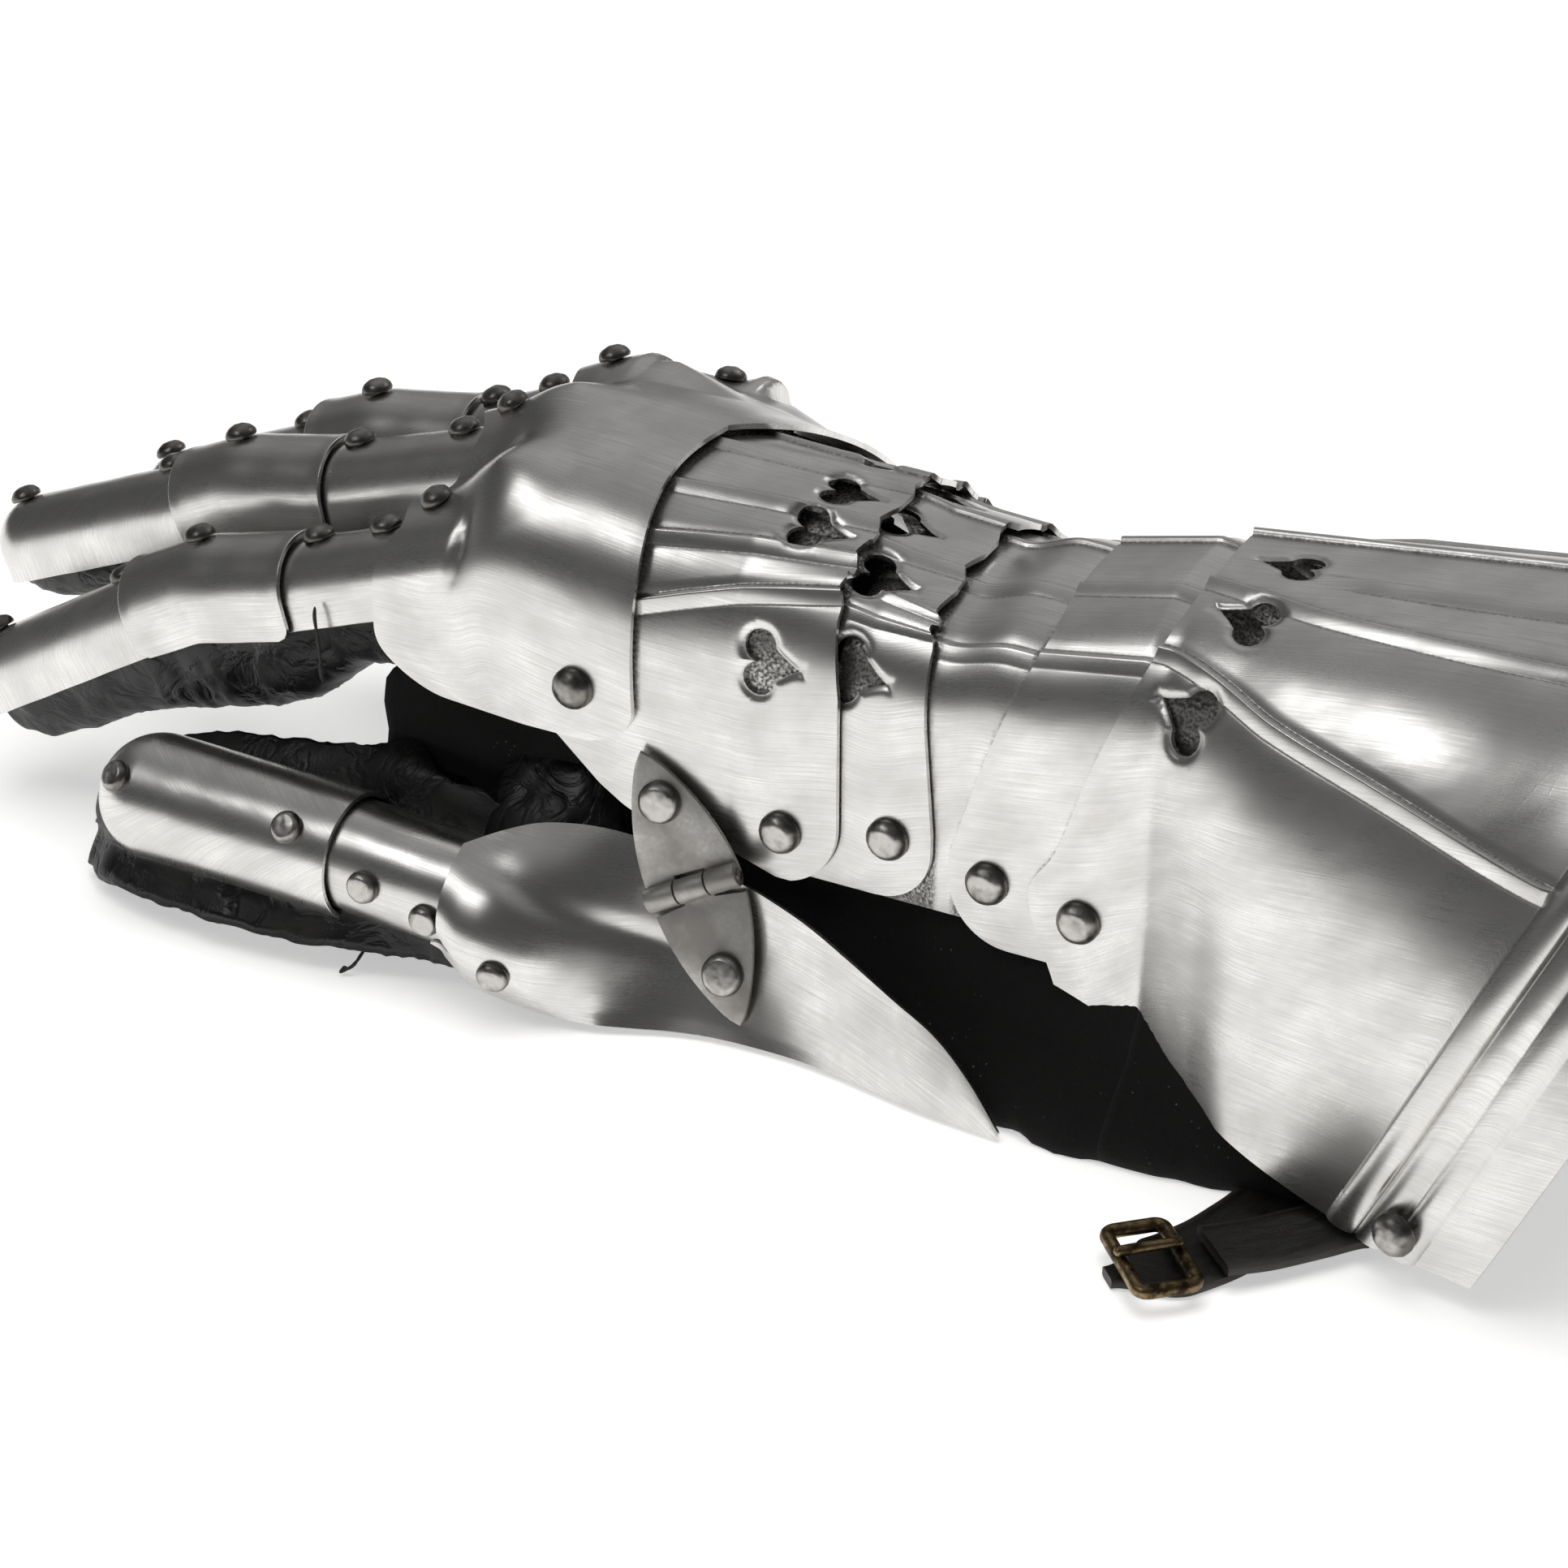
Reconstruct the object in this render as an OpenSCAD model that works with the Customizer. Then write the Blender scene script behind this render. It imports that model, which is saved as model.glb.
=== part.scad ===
// Gothic gauntlet for the right hand, lying palm down.
// +X runs to the elbow, +Y to the little finger, +Z up. The origin lies on the resting plane under
// the wrist. Steel plates hang on rivets over a black leather glove.

/* [Steel] */
// Thickness of the cuff, wrist lames, metacarpal plate and knuckle plate
plate_t = 1.1; // [0.8:0.1:1.5]
// Air left between two plates that lap over each other at the sides
lap_gap = 0.5; // [0.4:0.05:0.9]
// Thickness of the finger and thumb scales
scale_t = 0.9; // [0.7:0.1:1.1]
// Height of the raised flutes
flute_h = 0.9; // [0.5:0.1:1.2]
// Length of a pierced heart from its point to its lobes
heart_len = 11.5; // [8:0.5:13]

/* [Wrist] */
// Half width inside the innermost wrist lame
wrist_half = 35.2; // [32:0.2:44]
// Height of the side rivet line that the lames turn on
pivot_z = 40; // [36:0.5:44]
// Distance from the metacarpal pivot forward of the origin
pivot_metacarpal = 28.9; // [27:0.1:30]
// Distance from the front lame pivot forward of the origin
pivot_front = 7.7; // [6.5:0.1:9]
// Distance from the wrist lame pivot behind the origin
pivot_wrist = 12.3; // [11:0.1:13.5]
// Distance from the rear lame pivot behind the origin
pivot_rear = 31.1; // [30:0.1:33]

/* [Cuff] */
// Height of the cuff's crown at its front edge
cuff_front_h = 99.9; // [98:0.2:104]
// Height of the cuff's crown at its rear edge
cuff_rear_h = 111; // [105:0.5:125]
// Length of the crown from the cuff's front edge to its rear edge
cuff_len = 121; // [100:1:145]
// Half width of the cuff at its rear edge
cuff_rear_half = 71; // [60:1:80]
// Distance between two of the three rolled beads
bead_pitch = 6.2; // [5:0.2:8]
// Height of the rolled beads
bead_h = 1.5; // [0.8:0.1:2]

/* [Hand] */
// Half width of the metacarpal plate where the knuckle plate turns on it
hand_half = 46.6; // [44:0.2:50]
// Distance of the hand's middle line from the forearm's, to the little finger side
hand_shift = 3; // [2:0.2:4]
// Distance of the hand plates' crown line from the forearm's, to the thumb side
crown_shift = 6; // [4:0.5:8]
// Distance of the knuckle plate's pivot forward of the origin
knuckle_pivot_x = 69; // [66:0.5:72]
// Height of the knuckle plate's pivot
knuckle_pivot_z = 62.4; // [60:0.2:64]
// Reach of the crown of the metacarpal plate above the knuckle plate's pivot
knuckle_r = 38; // [37:0.1:38.6]

/* [Fingers] */
// Distance between the middle lines of two fingers
finger_pitch = 23.6; // [23:0.1:26]
// Half width outside a middle finger scale
scale_r = 11; // [10:0.1:11.3]
// Sideways air between a finger scale and the one that laps over it
scale_gap = 0.5; // [0.3:0.05:0.8]
// Depth of a scale's straight sides below its round crown
skirt = 5.5; // [4:0.5:7]

/* [Thumb] */
// Half width outside the thumb's tip scale
thumb_r = 12.5; // [11.5:0.1:13]
// Length of the thumb's tip scale
thumb_tip_len = 59; // [52:1:62]

/* [Rivets and hinge] */
// Diameter of a plate rivet's head
rivet_d = 8.2; // [7:0.1:9]
// Diameter of a finger rivet's head
small_rivet_d = 6.4; // [5:0.1:6.6]
// Diameter of a rivet's shank
shank_d = 3.2; // [2.6:0.1:3.6]
// Radial air between a rivet's shank and the hole that it turns in
turn_gap = 0.06; // [0.04:0.01:0.09]
// Diameter of the thumb hinge's pin
hinge_pin_d = 2.4; // [2:0.1:2.8]
// Width of the thumb hinge along its pin
hinge_w = 19; // [17:0.5:21]
// Length of one hinge leaf from the pin to its tip
hinge_leaf = 27; // [25:0.5:29]

/* [Leather] */
// Thickness of the glove's suede
suede_t = 2; // [1.5:0.1:3]
// Thickness of the straps
strap_t = 2.2; // [1.6:0.1:2.6]
// Width of the straps
strap_w = 17; // [14:0.5:18]

/* [Hidden] */
$fn = 40;

steel = [0.74, 0.74, 0.75];
rivet_steel = [0.42, 0.41, 0.40];
suede = [0.05, 0.05, 0.05];
hide = [0.08, 0.075, 0.07];
brass = [0.45, 0.36, 0.22];

// Sides of the lapping plates, from the inside out
pitch_y = plate_t + lap_gap;
side_wrist = wrist_half + plate_t;
side_mid = side_wrist + pitch_y;
side_out = side_mid + pitch_y;

// Pivot axes as [x, z], all along Y
p_bc = [-pivot_metacarpal, pivot_z + 0.2];
p_cd = [-pivot_front, pivot_z + 3.7];
p_de = [pivot_wrist, pivot_z];
p_ef = [pivot_rear, pivot_z - 1.9];
p_ab = [-knuckle_pivot_x, knuckle_pivot_z];

// Reach of each crown from the pivot that its neighbour turns on
front_r = 53.8;
wrist_front_r = 45;
wrist_rear_r = 51.2;
rear_r = 59.8;

// General helpers

function lerp(a, b, t) = a + (b - a) * t;
function clamp01(t) = min(1, max(0, t));
function smooth(t) = let (c = clamp01(t)) c * c * (3 - 2 * c);
function ramp(x, a, b) = clamp01((x - a) / (b - a));
function unit(p) = p / norm(p);
// Value at x on a run of [x, value] knots
function along(x, knots, i = 0) =
    x <= knots[0][0] ? knots[0][1]
    : i >= len(knots) - 1 ? knots[len(knots) - 1][1]
    : x <= knots[i + 1][0]
        ? lerp(knots[i][1], knots[i + 1][1], ramp(x, knots[i][0], knots[i + 1][0]))
        : along(x, knots, i + 1);
// The same as a smooth curve through the knots
function curve(x, knots) =
    let (n = len(knots) - 1)
    x <= knots[0][0] ? knots[0][1]
    : x >= knots[n][0] ? knots[n][1]
    : let (i = [for (j = [0 : n - 1]) if (x < knots[j + 1][0]) j][0], p = knots[i], q = knots[i + 1],
           h = q[0] - p[0], t = (x - p[0]) / h, o = knots[max(i - 1, 0)], r = knots[min(i + 2, n)],
           a = (q[1] - o[1]) / (q[0] - o[0]) * h, b = (r[1] - p[1]) / (r[0] - p[0]) * h)
      (2 * t * t * t - 3 * t * t + 1) * p[1] + (t * t * t - 2 * t * t + t) * a
      + (3 * t * t - 2 * t * t * t) * q[1] + (t * t * t - t * t) * b;
// Height of a circle about a pivot at distance x along the arm
function arc_z(pivot, r, x) = pivot[1] + sqrt(r * r - (x - pivot[0]) * (x - pivot[0]));

// An arch in one cross-section. v runs from -1 at the thumb side's lower edge over the crown at 0
// to 1 on the far side; past wall_v the side is straight.
wall_v = 0.7;
function arch(half, z0, top, n, low, v) =
    let (a = abs(v), turn = 90 * (1 - min(a / wall_v, 1)))
    [sign(v) * half * pow(cos(turn), 2 / n),
     a < wall_v ? z0 + (top - z0) * pow(sin(turn), 2 / n) : lerp(z0, low, (a - wall_v) / (1 - wall_v))];

// Place on an arch of the point at distance y from its middle
function v_of(y, half, n) =
    sign(y) * wall_v * (1 - acos(pow(min(1, abs(y) / half), n / 2)) / 90);
// Columns of a fluted plate as [v, height share], for flutes given as [v, height share]
function columns(flutes, d, m, ends) =
    let (last = len(flutes) - 1, a = flutes[0][0] - d, b = flutes[last][0] + d)
    concat(
        [for (k = [0 : ends - 1]) [lerp(-1, a, pow(k / ends, 1.5)), 0]],
        [for (i = [0 : last]) each concat(
            [[flutes[i][0] - d, 0], flutes[i], [flutes[i][0] + d, 0]],
            i == last ? [] : [for (k = [1 : m - 1])
                [lerp(flutes[i][0] + d, flutes[i + 1][0] - d, k / m), 0]])],
        [for (k = [ends - 1 : -1 : 0]) [lerp(1, b, pow(k / ends, 1.5)), 0]]);

// Outward normal of a surface function at u, v
function normal(f, u, v, e = 0.004) =
    let (a = f(u + e, v) - f(u - e, v), b = f(u, v + e) - f(u, v - e))
    unit(cross(a, b));

// A sheet of one thickness. rows(u) gives the columns of the row at u as [v, crest].
module sheet(f, rows, us, t, crest = 0) {
    nc = len(rows(us[0]));
    nr = len(us);
    at = [for (u = us) for (c = rows(u)) [u, c[0], c[1]]];
    outer = [for (p = at) f(p[0], p[1]) + normal(f, p[0], p[1]) * crest * p[2]];
    inner = [for (i = [0 : len(at) - 1]) outer[i] - normal(f, at[i][0], at[i][1]) * t];
    n = nc * nr;
    quads = concat(
        [for (i = [0 : nr - 2]) for (j = [0 : nc - 2])
            [i * nc + j, i * nc + j + 1, (i + 1) * nc + j + 1, (i + 1) * nc + j]],
        [for (i = [0 : nr - 2]) for (j = [0 : nc - 2])
            [n + (i + 1) * nc + j, n + (i + 1) * nc + j + 1, n + i * nc + j + 1, n + i * nc + j]],
        [for (j = [0 : nc - 2]) [j, n + j, n + j + 1, j + 1]],
        [for (j = [0 : nc - 2]) let (k = (nr - 1) * nc) [k + j + 1, n + k + j + 1, n + k + j, k + j]],
        [for (i = [0 : nr - 2]) [(i + 1) * nc, n + (i + 1) * nc, n + i * nc, i * nc]],
        [for (i = [0 : nr - 2]) let (k = nc - 1)
            [i * nc + k, n + i * nc + k, n + (i + 1) * nc + k, (i + 1) * nc + k]]);
    polyhedron(concat(outer, inner), [for (q = quads) each [[q[0], q[1], q[2]], [q[0], q[2], q[3]]]]);
}

// A solid through closed rings of equal count, with flat ends, or with the last ring joined to the
// first
module lofted(rings, loop = false) {
    nc = len(rings[0]);
    nr = len(rings);
    mids = [for (r = [rings[0], rings[nr - 1]]) [for (k = [0 : 2]) [for (p = r) p[k]]
        * [for (p = r) 1] / nc]];
    side = [for (i = [0 : nr - (loop ? 1 : 2)]) for (j = [0 : nc - 1])
        let (k = (j + 1) % nc, a = i * nc, b = (i + 1) % nr * nc)
        each [[a + j, a + k, b + k], [a + j, b + k, b + j]]];
    ends = [for (j = [0 : nc - 1]) let (k = (j + 1) % nc, e = (nr - 1) * nc)
        each [[nr * nc, k, j], [nr * nc + 1, e + j, e + k]]];
    polyhedron(concat([for (r = rings) each r], loop ? [] : mids), loop ? side : concat(side, ends));
}

// Puts children, modelled along +X with +Z outward, at a point with the given directions
module placed(p, along_x, ez) {
    ex = unit(along_x - ez * (along_x * ez));
    ey = cross(ez, ex);
    multmatrix([[ex[0], ey[0], ez[0], p[0]], [ex[1], ey[1], ez[1], p[1]], [ex[2], ey[2], ez[2], p[2]]])
        children();
}
// The same on a sheet's surface, with +X along its rows
module on_sheet(f, u, v) {
    ez = normal(f, u, v, 0.04);
    ex = unit(f(u + 0.01, v) - f(u - 0.01, v));
    placed(f(u, v), ex, ez) children();
}

// A heart for piercing, its point towards +X
module heart_cut() {
    lobe = heart_len * 0.27;
    translate([0, 0, -4])
        linear_extrude(8) {
            for (s = [-1, 1])
                translate([-heart_len * 0.5 + lobe, s * lobe * 0.98])
                    circle(lobe, $fn = 24);
            polygon([[-heart_len * 0.5 + lobe * 0.9, -lobe * 1.9], [-lobe * 0.1, -lobe * 1.6],
                [heart_len * 0.5, 0], [-lobe * 0.1, lobe * 1.6],
                [-heart_len * 0.5 + lobe * 0.9, lobe * 1.9], [-heart_len * 0.5 + lobe * 0.5, 0]]);
        }
}

// A domed rivet with its head's seat at z = 0, its shank down through the grip and a flat tail
module rivet(d, grip) {
    tall = d * 0.4;
    tail_r = shank_d / 2 + 0.8;
    tail_h = 0.6;
    rotate_extrude()
        polygon(concat(
            [[0, -grip - tail_h], [tail_r, -grip - tail_h], [tail_r, -grip], [shank_d / 2, -grip],
             [shank_d / 2, 0], [d / 2, 0], [d / 2, tall * 0.12]],
            [for (k = [1 : 6]) [d / 2 * cos(k * 15), tall * (0.12 + 0.88 * sin(k * 15))]]));
}
module shank_hole(grip) {
    translate([0, 0, -grip - 3])
        cylinder(r = shank_d / 2 + turn_gap, h = grip + 6);
}
module side_hole(p) {
    translate([p[0], 0, p[1]])
        rotate([90, 0, 0])
            cylinder(r = shank_d / 2 + turn_gap, h = 260, center = true);
}
// The pair of side rivets of one pivot; out gives the outer face at the thumb side and the far side
module side_rivets(p, out, grip) {
    seat = 0.02;
    translate([p[0], -out[0] - seat, p[1]])
        rotate([90, 0, 0])
            rivet(rivet_d, grip + seat * 2);
    translate([p[0], out[1] + seat, p[1]])
        rotate([-90, 0, 0])
            rivet(rivet_d, grip + seat * 2);
}
lap_grip = 2 * plate_t + lap_gap;

// Inset of a rounded lower corner of radius r at height z above the lower edge low
function corner(z, low, r) = z >= low + r ? 0 : r - sqrt(max(0, r * r - pow(low + r - z, 2)));

// Squareness of the arches at the thumb side and, rounder, at the far side
side_n = 2.6;
far_n = 1.42;
function n_of(v) = v < 0 ? side_n : far_n;
// Flutes of the wrist by their distance from the middle line
wrist_flutes = [-31, -17.5, 0, 17.5, 31];
function wrist_columns(flutes, m) =
    columns([for (y = flutes) [v_of(y, side_mid, n_of(y)), abs(y) > 20 ? 0.35 : 0.75]], 0.017, m, 6);
function wrist_rows(u) = wrist_columns(wrist_flutes, 4);

// Cuff

cuff_front_x = 44;
cuff_z0 = [[22, 62], [46, 60], [66, 40], [90, 22], [120, 10], [165, 8]];
cuff_low = [[22, 25], [28, 23.5], [47, 16.5], [65, 10.4], [82, 6.6], [95, 5.3], [104, 5.1]];
cuff_n = [[44, side_n], [66, 2.6], [90, 2.5], [119, 2.15], [165, 2.1]];
cuff_far_n = [[44, far_n], [80, 1.6], [165, 1.75]];
function cuff_half(x) = curve(x, [[43, side_out], [55, side_out + 6], [66, side_out + 12],
    [85, side_out + 18], [103, side_out + 23.6], [119, side_out + 27], [145, cuff_rear_half]]);
function cuff_top(x) = curve(x, [[40, cuff_front_h], [67, cuff_front_h + 3],
    [101, lerp(cuff_front_h, cuff_rear_h, 0.6)], [125, lerp(cuff_front_h, cuff_rear_h, 0.78)],
    [cuff_front_x + cuff_len, cuff_rear_h]]);
function cuff_arch(x, v) =
    arch(cuff_half(x), curve(x, cuff_z0), cuff_top(x), curve(x, v < 0 ? cuff_n : cuff_far_n),
        curve(x, cuff_low), v);
// The slant of the beads and of the rear edge: higher points lie further back
bead_front = 88;
bead_slant = 0.46;
bead_share = 0.7;
bead_reach = 0.6 * bead_pitch;
rear_band = cuff_front_x + cuff_len - bead_front - bead_slant * cuff_rear_h + bead_reach;
function bead_line(x, v) = bead_front - bead_reach + bead_slant * cuff_arch(x, v)[1];
function cuff_front_edge(z) = curve(z, [[24, 27], [41, 21], [51, 26], [68, 32], [85, 38.5], [93, 41.5],
    [99, cuff_front_x]]);
function cuff_at(u, v) =
    let (front = cuff_front_edge(arch(side_out, 62, cuff_front_h, n_of(v), 25, v)[1]),
         back = u <= bead_share ? 0 : (u - bead_share) / (1 - bead_share) * rear_band,
         x1 = bead_line(bead_line(120, v), v),
         x2 = bead_line(bead_line(x1 + back, v) + back, v) + back,
         x = u <= bead_share ? lerp(front, x1, u / bead_share) : x2,
         s = cuff_arch(x, v),
         turns = [for (k = [0 : 2]) (back - bead_reach) / bead_pitch - k],
         swell = bead_h * max([for (k = turns) max(0, cos(min(0.5, abs(k)) * 180))]))
    [x, s[0] * (1 + swell / 70), s[1] + swell * ramp(abs(v), 1, 0.3)];
function cuff_fan(u) =
    let (low = lerp(v_of(-31, side_out, side_n), -0.405, u), mid = lerp(v_of(-17.5, side_out, side_n), -0.185, u),
         far_low = v_of(31, side_out, far_n), far_mid = v_of(17.5, side_out, far_n),
         start = ramp(u, 0.14, 0.22))
    columns([[low, 1], [mid, 1], [mid / 2, start], [0, 1], [far_mid / 2, start], [far_mid, 1], [far_low, 1]],
        0.015, 3, 7);
cuff_us = concat([for (k = [0 : 8]) k / 8 * bead_share],
    [for (k = [1 : 12]) bead_share + (1 - bead_share) * (0.1 + k / 4) * bead_pitch / rear_band],
    [0.97, 1]);

module cuff_plate() {
    color(steel)
        difference() {
            sheet(cuff_at_f, cuff_fan_f, cuff_us, plate_t, flute_h);
            side_hole(p_ef);
            for (h = cuff_hearts)
                on_sheet(cuff_at_f, h[0], h[1])
                    rotate([0, 0, 180])
                        heart_cut();
            for (s = [-1, 1])
                on_sheet(cuff_at_f, strap_rivet_uv[0], s * strap_rivet_uv[1])
                    shank_hole(plate_t);
        }
}
cuff_at_f = function(u, v) cuff_at(u, v);
cuff_fan_f = function(u) cuff_fan(u);
cuff_hearts = [[0.092, -0.48], [0.082, -0.225], [0.085, -0.066], [0.1, 0.5], [0.09, 0.31], [0.09, 0.13]];
strap_rivet_uv = [0.835, 0.83];

module cuff_rivets() {
    color(rivet_steel) {
        side_rivets(p_ef, [side_out, side_out], lap_grip);
        for (s = [-1, 1])
            on_sheet(cuff_at_f, strap_rivet_uv[0], s * strap_rivet_uv[1])
                translate([0, 0, bead_h + 0.1])
                    rivet(rivet_d, plate_t + strap_t + bead_h + 0.3);
    }
}

// Wrist lames

// A lame from its crown line, its front and rear edges by height, and its lower edge
lame_z0 = 62;
function lame_at(u, v, half, crown, front, rear, low, r) =
    let (zn = arch(half, lame_z0, crown((front(90) + rear(90)) / 2), n_of(v), low, v)[1],
         inset = corner(zn, low, r),
         x = lerp(front(zn) + inset, rear(zn) - inset, u),
         s = arch(half, lame_z0, crown(x), n_of(v), low, v))
    [x, s[0], s[1]];
lame_us = [0, 0.17, 0.34, 0.5, 0.66, 0.83, 1];

front_crown = function(x) x < -14 ? arc_z(p_bc, front_r, x)
    : lerp(arc_z(p_bc, front_r, -14), 90.9, ramp(x, -14, -2));
front_f = function(u, v) lame_at(u, v, side_mid, front_crown,
    function(z) -41, function(z) lerp(0.8, -2.6, ramp(z, 46, 88)), 31.5, 11);
wrist_crown = function(x) x < 0 ? arc_z(p_cd, wrist_front_r, x)
    : x > p_de[0] ? arc_z(p_de, wrist_rear_r, x)
    : lerp(arc_z(p_cd, wrist_front_r, 0), p_de[1] + wrist_rear_r, smooth(x / p_de[0]));
wrist_f = function(u, v) lame_at(u, v, side_wrist, wrist_crown,
    function(z) -20, function(z) lerp(24, 33, ramp(z, 40, 88)), 30.5, 11);
rear_crown_knee = 38;
rear_crown = function(x) x > rear_crown_knee ? arc_z(p_ef, rear_r, x)
    : lerp(93, arc_z(p_ef, rear_r, rear_crown_knee), ramp(x, 18, rear_crown_knee));
rear_f = function(u, v) lame_at(u, v, side_mid, rear_crown,
    function(z) lerp(4.6, 19, ramp(z, 44, 90)), function(z) lerp(42.5, 55, ramp(z, 40, 90)), 27, 12);
wrist_rows_f = function(u) wrist_rows(u);
// On the front lame a second flute runs into the low one
function front_rows(u) =
    let (b = lerp(24, 28, u))
    wrist_columns([-31, -b, -17.5, 0, 17.5, b, 31], 2);
front_rows_f = function(u) front_rows(u);
front_hearts = [[0.66, -0.56], [0.66, -0.27], [0.6, -0.08], [0.66, 0.56], [0.66, 0.34], [0.6, 0.12]];

module wrist_lame() {
    color(steel)
        difference() {
            sheet(wrist_f, wrist_rows_f, lame_us, plate_t, flute_h);
            side_hole(p_cd);
            side_hole(p_de);
        }
}
module front_lame() {
    color(steel)
        difference() {
            sheet(front_f, front_rows_f, lame_us, plate_t, flute_h);
            side_hole(p_bc);
            side_hole(p_cd);
            for (h = front_hearts)
                on_sheet(front_f, h[0], h[1])
                    heart_cut();
        }
}
module rear_lame() {
    color(steel)
        difference() {
            sheet(rear_f, wrist_rows_f, lame_us, plate_t, flute_h);
            side_hole(p_de);
            side_hole(p_ef);
        }
}
module front_lame_rivets() {
    color(rivet_steel)
        side_rivets(p_cd, [side_mid, side_mid], lap_grip);
}
module rear_lame_rivets() {
    color(rivet_steel)
        side_rivets(p_de, [side_mid, side_mid], lap_grip);
}

// Metacarpal plate

// The sides stand straight at the wrist and flare to the hand's width
flare_near = [-40, -60];
flare_far = [-40, -64];
function hand_near(x) = lerp(side_out, hand_half - hand_shift, ramp(x, flare_near[0], flare_near[1]));
function hand_far(x) = lerp(side_out, hand_half + hand_shift, ramp(x, flare_far[0], flare_far[1]));
function metacarpal_top(x) = x < -60 ? arc_z(p_ab, knuckle_r, x)
    : lerp(96.1, arc_z(p_ab, knuckle_r, -60), ramp(x, -18, -60));
hand_near_n = 2.4;
hand_far_n = 1.32;
metacarpal_low = [[-88, 58], [-74, 51], [-65, 43], [-58, 38.5], [-46, 37.5], [-38, 33], [-30, 30.5]];
function metacarpal_at(u, v) =
    let (zn = arch(43, 62, 98, n_of(v), 31, v)[1],
         x = lerp(lerp(-88, -76, smooth(ramp(v, 0.12, 0.42))), lerp(-17.5, -20, ramp(zn, 70, 84)) - corner(zn, 30.5, 13), u),
         n = lerp(n_of(v), v > 0 ? hand_far_n : hand_near_n, ramp(x, -38, -66)),
         shift = -crown_shift * ramp(x, -20, -62),
         half = v > 0 ? hand_far(x) - shift : hand_near(x) + shift,
         s = arch(half, lerp(62, v > 0 ? 66 : 60, ramp(x, -30, -64)), metacarpal_top(x), n, along(x, metacarpal_low), v))
    [x, s[0] + shift, s[1]];
metacarpal_f = function(u, v) metacarpal_at(u, v);
function fan_v(rear, front, u) =
    let (y = front + crown_shift,
         a = y < 0 ? v_of(y, hand_near(-62) - crown_shift, hand_near_n) : v_of(y, hand_far(-62) + crown_shift, hand_far_n))
    lerp(a, v_of(rear, side_out, n_of(rear)), u);
metacarpal_fan = [[-31.5, -42.6], [-25.5, -35], [-17, -24], [-3.5, -8], [3.5, 12], [17, 27], [25.5, 38], [31.5, 47]];
function metacarpal_rows(u) = columns([for (k = metacarpal_fan) [fan_v(k[0], k[1], u), 1]], 0.016, 2, 7);
metacarpal_rows_f = function(u) metacarpal_rows(u);
metacarpal_us = [0, 0.1, 0.2, 0.3, 0.4, 0.5, 0.6, 0.7, 0.8, 0.9, 1];
metacarpal_hearts = [[0.81, -0.6], [0.86, -0.213], [0.86, -0.075], [0.81, 0.6], [0.86, 0.27], [0.86, 0.13]];

module metacarpal_plate() {
    color(steel)
        difference() {
            sheet(metacarpal_f, metacarpal_rows_f, metacarpal_us, plate_t, flute_h);
            side_hole(p_bc);
            side_hole(p_ab);
            on_leaf(true)
                translate([leaf_rivet, 0, 0])
                    shank_hole(3);
            for (h = metacarpal_hearts)
                on_sheet(metacarpal_f, h[0], h[1])
                    heart_cut();
        }
}
module metacarpal_rivets() {
    color(rivet_steel) {
        side_rivets(p_bc, [side_out, side_out], lap_grip);
        on_leaf(true)
            translate([leaf_rivet, 0, hinge_sheet + 0.02])
                rivet(rivet_d, hinge_sheet + plate_t + 2.9);
    }
}

// Thumb hinge

// The upper leaf leans off the metacarpal plate's flared side, the lower leaf lies on the thumb
// plate. The pin is tilted up towards the wrist.
hinge_sheet = 1.1;
knuckle_r_hinge = hinge_pin_d / 2 + turn_gap + hinge_sheet;
leaf_yaw = 13;
leaf_lean = 9;
pin_tilt = 25;
wall_out = [sin(leaf_yaw) * cos(leaf_lean), -cos(leaf_yaw) * cos(leaf_lean), sin(leaf_lean)];
level = [cos(leaf_yaw), sin(leaf_yaw), 0];
leaf_up = cross(wall_out, level);
pin_dir = level * cos(pin_tilt) + leaf_up * sin(pin_tilt);
upper_dir = leaf_up * cos(pin_tilt) - level * sin(pin_tilt);
pin_x = -43.2;
pin_z = 28.3;
pin_mid = [pin_x, -hand_near(pin_x) - 6.9, pin_z];
// The lower leaf is bent out from the upper leaf's plane by this angle
hinge_bend = 12;
lower_dir = -upper_dir * cos(hinge_bend) + wall_out * sin(hinge_bend);
lower_out = wall_out * cos(hinge_bend) + upper_dir * sin(hinge_bend);
leaf_rivet = hinge_leaf * 0.63;

// +X away from the pin along a leaf, +Z outward, z = 0 on the leaf's inner face
module on_leaf(upper) {
    d = upper ? upper_dir : lower_dir;
    o = upper ? wall_out : lower_out;
    placed(pin_mid - o * knuckle_r_hinge, d, o)
        children();
}
// Half of a leaf-shaped outline: wide at the pin, pointed at the tip
function leaf_edge(s) = hinge_w / 2 * pow(cos(s * 90), 0.75);
module leaf_outline() {
    steps = 10;
    polygon(concat(
        [for (k = [0 : steps]) [k / steps * hinge_leaf, leaf_edge(k / steps)]],
        [for (k = [steps - 1 : -1 : 0]) [k / steps * hinge_leaf, -leaf_edge(k / steps)]]));
}
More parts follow.
